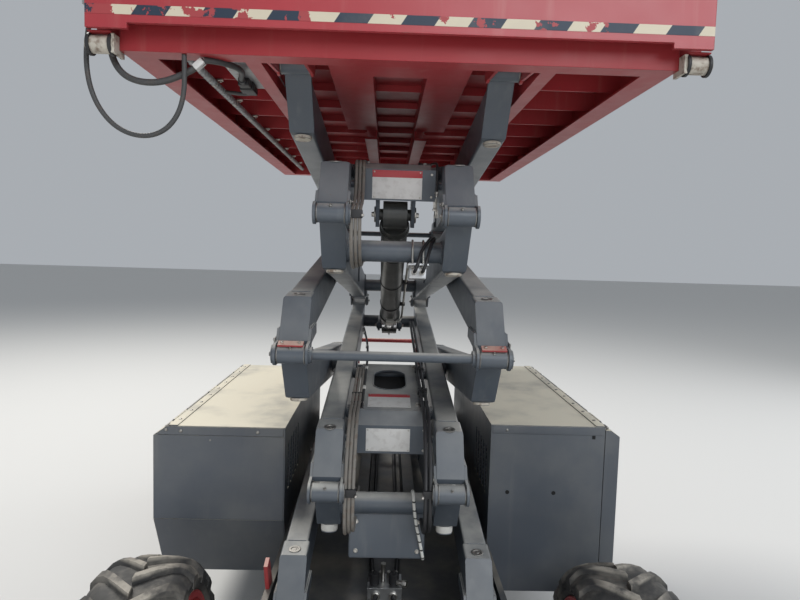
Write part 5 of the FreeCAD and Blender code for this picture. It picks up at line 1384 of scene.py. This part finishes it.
def make_valve_details():
    low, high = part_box("valve_block")
    top = high[2]
    zinc = Piece()
    for k, y in enumerate((-0.04, -0.013, 0.014, 0.041)):
        zinc.lathe([(0, 0.01), (0.004, 0.01), (0.005, 0.0085), (0.018, 0.0085), (0.02, 0.006)],
                   (low[0] + 0.02, y, top), (0, 0, 1), 6)
    for y in both(0.03):
        zinc.lathe([(0, 0.015), (0.006, 0.015), (0.008, 0.0125), (0.008, 0.0085), (0.001, 0.008)],
                   (high[0], y, (low[2] + top) / 2), (1, 0, 0), 24)
    zinc.fitting((high[0] - 0.02, 0.044, top + 0.012), (0.5, 0.86, 0.1), 0.009, 0.04)
    zinc.rod((high[0] - 0.05, -0.006, top), (high[0] - 0.05, -0.006, top + 0.052), 0.0075, 18)
    zinc.rod((high[0] - 0.05, -0.006, top + 0.05), (high[0] - 0.05, -0.006, top + 0.066), 0.0105, 6)
    for y in both(0.045):
        zinc.rod((low[0], y, (low[2] + top) / 2), (low[0] - 0.024, y, (low[2] + top) / 2), 0.011, 6)
    zinc.done("valve_fittings", "chassis", "valve_metal", "zinc")
    coils = Piece()
    for y in (-0.036, 0.032):
        coils.lathe([(0, 0.016), (0.002, 0.018), (0.036, 0.018), (0.038, 0.016), (0.038, 0.006), (0.046, 0.005)],
                    (high[0] - 0.032, y, top), (0, 0, 1), 24)
    coils.box((high[0] - 0.046, -0.052, top + 0.012), (high[0] - 0.02, -0.06, top + 0.03), 0.002)
    coils.done("valve_coils", "chassis", "box_plastic")
    hoses = Piece()
    z = (low[2] + top) / 2
    for k, y in enumerate(both(0.045)):
        side = 1 if y > 0 else -1
        hoses.pipe([(low[0] - 0.022, y, z), (low[0] - 0.08, y, z), (low[0] - 0.14, y * 1.1, z - 0.01),
                    (low[0] - 0.3, side * 0.052, 0.392), (0.1, side * 0.05, 0.388), (-0.6, side * 0.048, 0.388),
                    (-1.05, side * 0.05, 0.388)], 0.0085, 12, 7)
    hoses.pipe([(high[0] + 0.006, 0.03, z), (high[0] + 0.05, 0.034, z - 0.004), (high[0] + 0.09, 0.07, 0.394),
                (high[0] + 0.16, 0.13, 0.39), (high[0] + 0.24, 0.18, 0.39), (high[0] + 0.42, 0.19, 0.39)],
               0.008, 12, 7)
    hoses.pipe([(high[0] + 0.006, -0.03, z), (high[0] + 0.04, -0.036, z - 0.006), (high[0] + 0.07, -0.09, 0.392),
                (high[0] + 0.12, -0.15, 0.389), (high[0] + 0.3, -0.18, 0.389), (high[0] + 0.42, -0.185, 0.389)],
               0.008, 12, 7)
    hoses.done("pan_hoses", "chassis", "cable_black", "hose_black")


def make_axle_details():
    zinc, black, hoses = Piece(), Piece(), Piece()
    for name, x in AXLE_X.items():
        for y in both(0.34):
            side = 1 if y > 0 else -1
            black.box((x - 0.07, y - 0.028, 0.364), (x + 0.07, y + 0.028, 0.3705), 0.002)
            for dx in both(0.056):
                zinc.bolt((x + dx, y + side * 0.014, 0.364), (0, 0, -1), 0.008)
        black.box((x - 0.03, -0.1, 0.276), (x + 0.03, 0.1, 0.28), 0.002)
    x, z = AXLE_X["front"] - 0.085, WHEEL_RADIUS - 0.01
    for y in both(0.21):
        side = 1 if y > 0 else -1
        black.lathe([(0, 0.0275), (0.002, 0.0285), (0.014, 0.0285), (0.016, 0.02), (0.016, 0.0125)], (x, y - side * 0.01, z),
                    (0, side, 0), 28)
        zinc.fitting((x, y - side * 0.04, z - 0.026), (0, 0, -1), 0.008, 0.026)
    hoses.pipe([(x, 0.17, z - 0.05), (x, 0.168, z - 0.075), (x + 0.02, 0.15, z - 0.088), (x + 0.06, 0.11, z - 0.07),
                (x + 0.085, 0.06, z - 0.05), (x + 0.09, 0.01, z - 0.044)], 0.0062, 12, 6)
    hoses.pipe([(x, -0.17, z - 0.05), (x, -0.168, z - 0.075), (x + 0.02, -0.15, z - 0.088), (x + 0.06, -0.11, z - 0.07),
                (x + 0.085, -0.06, z - 0.05), (x + 0.09, -0.01, z - 0.044)], 0.0062, 12, 6)
    zinc.done("axle_bolts", "chassis", "valve_metal", "zinc")
    black.done("axle_pads", "chassis", "axle_black")
    hoses.done("steer_hoses", "chassis", "cable_black", "hose_black")
    motors = Piece()
    x, z = AXLE_X["rear"], WHEEL_RADIUS
    for side in (1, -1):
        for k in range(8):
            angle = 2 * pi * k / 8 + 0.2
            motors.bolt((x + 0.062 * cos(angle), side * 0.59, z + 0.062 * sin(angle)), (0, -side, 0), 0.006, False)
    motors.done("motor_bolts", "chassis", "valve_metal", "zinc")


def make_ladder_details():
    low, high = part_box("ladder")
    x = (low[0] + 0.015)
    grips = Piece()
    for z in (0.4, 0.61, 0.82, 1.01):
        for k in range(13):
            y = -0.168 + 0.028 * k
            grips.ring((x, y, z), (0, 1, 0), 0.013, 0.0013, 20, 5)
    grips.done("rung_grips", "chassis", "chassis_red")
    bolts = Piece()
    for z in (0.4, 0.52):
        for y in both(0.2):
            bolts.bolt((low[0], y, z), (-1, 0, 0), 0.006, False)
    bolts.done("ladder_bolts", "chassis", "valve_metal", "zinc")


def make_keepers():
    """Red keeper strips over the low pins of the third outer pair."""
    piece = Piece(arm_matrix(OUTER, 3))
    for side in (1, -1):
        y = side * OUTER_Y
        spot = low_at(-0.01, y, 0.0335)
        piece.box(spot - Vector((0.012, 0.036, 0.003)), spot + Vector((0.012, 0.036, 0.003)), 0.001, ("Y", 18))
    piece.done("pin_strips", "outer_3", "chassis_red")
    bolts = Piece(arm_matrix(OUTER, 3))
    for side in (1, -1):
        for dy in both(0.024):
            bolts.bolt(low_at(-0.011, side * OUTER_Y + dy, 0.0355), (0.3, 0, 1), 0.0045, False)
    bolts.done("pin_strip_bolts", "outer_3", "valve_metal", "zinc")


# Wheels

def ring_point(angle, radius, y):
    return Vector((radius * cos(angle), y, WHEEL_RADIUS + radius * sin(angle)))


def add_lug(piece, turn, side, centre_y):
    """One bevelled lug, drawn as cross-sections outwards from the middle of the tread."""
    sections = [
        # outwards, radius at the foot, radius at the top, half width, share of the sweep
        (-0.006, -0.026, 0.000, 0.015, 0.00),
        (0.03, -0.026, 0.000, 0.016, 0.24),
        (0.066, -0.028, -0.003, 0.0178, 0.52),
        (0.1, -0.034, -0.011, 0.02, 0.8),
        (0.124, -0.048, -0.024, 0.0215, 0.95),
        (0.146, -0.084, -0.047, 0.022, 1.00),
    ]
    part = bmesh.new()
    rings = []
    for out, foot, top, half, share in sections:
        angle = turn + LUG_SWEEP * share
        y = centre_y + side * out
        spread, crest = (half + 0.006) / WHEEL_RADIUS, half / WHEEL_RADIUS
        soft = crest - 0.0035 / WHEEL_RADIUS
        under, over = WHEEL_RADIUS + foot, WHEEL_RADIUS + top
        profile = [(-spread, under), (-crest, over - 0.004), (-soft, over), (soft, over), (crest, over - 0.004),
                   (spread, under)]
        rings.append([part.verts.new(ring_point(angle + a, r, y)) for a, r in profile])
    for near, far in zip(rings, rings[1:]):
        for a in range(6):
            b = (a + 1) % 6
            part.faces.new((near[a], near[b], far[b], far[a]))
    part.faces.new(rings[0])
    part.faces.new(list(reversed(rings[-1])))
    bmesh.ops.recalc_face_normals(part, faces=part.faces)
    piece.add(part)


def make_wheel(end, side_name):
    side = 1 if side_name == "left" else -1
    x = AXLE_X[end]
    y = side * WHEEL_MIDDLE_Y
    body = "wheel_%s_%s" % (end, side_name)
    tyre = Piece(Matrix.Translation((x, 0, 0)))
    half = [
        # across from the middle, radius: tread, shoulder, sidewall with its ribs, bead
        (0.000, 0.3005), (0.055, 0.3), (0.09, 0.296), (0.112, 0.288), (0.128, 0.275), (0.1385, 0.26),
        (0.1415, 0.2585), (0.144, 0.256), (0.1445, 0.248), (0.1425, 0.2455), (0.1415, 0.238), (0.1435, 0.236),
        (0.142, 0.2325), (0.135, 0.225), (0.1265, 0.2205), (0.118, 0.215), (0.115, 0.205),
    ]
    outline = [(-a, r) for a, r in reversed(half[1:])] + half
    tyre.lathe(outline, (0, y, WHEEL_RADIUS), (0, 1, 0), 96, True)
    pitch = 2 * pi / LUG_COUNT
    for k in range(LUG_COUNT):
        turn = -pi / 2 + 0.015 / WHEEL_RADIUS + pitch * k
        add_lug(tyre, turn, 1, y)
        add_lug(tyre, turn + pitch / 2, -1, y)
    made = tyre.done("tyre_" + end + "_" + side_name + "_lugged", body, "tyre_rubber")
    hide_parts("tyre_%s_%s" % (end, side_name))
    dress = Piece(Matrix.Translation((x, 0, WHEEL_RADIUS)))
    disc = WHEEL_MIDDLE_Y + 0.025
    for k in range(8):
        angle = 2 * pi * k / 8
        spot = (0.1 * cos(angle), side * (disc + 0.0345), 0.1 * sin(angle))
        dress.bolt(spot, (0, side, 0), 0.0105)
        dress.rod(Vector(spot) + Vector((0, side * 0.01, 0)), Vector(spot) + Vector((0, side * 0.0185, 0)), 0.006, 14)
    dress.done("nuts_%s_%s" % (end, side_name), body, "valve_metal", "zinc")
    hub = Piece(Matrix.Translation((x, 0, WHEEL_RADIUS)))
    hub.bead((0, side * (disc + 0.0415), 0), (0, 1, 0), 0.072, 0.003, 60)
    for k in range(12):
        angle = 2 * pi * (k + 0.5) / 12
        spot = Vector((0.158 * cos(angle), side * (disc + 0.015), 0.158 * sin(angle)))
        hub.lathe([(-0.004, 0.013), (0.0015, 0.013), (0.0022, 0.0115), (0.0012, 0.01), (-0.002, 0.0095)], spot,
                  (0, side, 0), 18)
    for edge in (WHEEL_MIDDLE_Y + TYRE_HALF - 0.0145, WHEEL_MIDDLE_Y - TYRE_HALF + 0.0145):
        hub.ring((0, side * edge, 0), (0, 1, 0), RIM_RADIUS + 0.0105, 0.0042, 72, 8)
    hub.done("rim_beads_%s_%s" % (end, side_name), body, "rim_red")
    valve = Piece(Matrix.Translation((x, 0, WHEEL_RADIUS)))
    valve.rod((0, side * (disc + 0.012), 0.185), (0, side * (disc + 0.044), 0.181), 0.0042, 12)
    valve.rod((0, side * (disc + 0.042), 0.1812), (0, side * (disc + 0.052), 0.18), 0.0052, 12)
    valve.done("valve_%s_%s" % (end, side_name), body, "cable_black")


make_camera()
make_materials()
make_studio()
dress_nodes()
make_cable("cable_a", CABLE_A, 0.012)
make_cable("cable_b", CABLE_B, 0.016)
make_bumpers()
for kind in (INNER, OUTER):
    for level in range(1, 5):
        make_arm_fixings(kind, level)
        make_arm_welds(kind, level)
for level in (2, 4):
    make_plate_fixings(level)
make_labels()
make_hoses()
make_manifold()
make_shield()
make_keepers()
make_cylinder_details()
make_stripe()
make_platform_details()
make_underside_wiring()
make_rail_fittings()
make_gate_details()
make_control_box()
for side_name in ("left", "right"):
    make_cabinet_details(side_name)
    for end in AXLE_X:
        make_wheel(end, side_name)
make_contents()
make_chassis_details()
make_valve_details()
make_axle_details()
make_ladder_details()
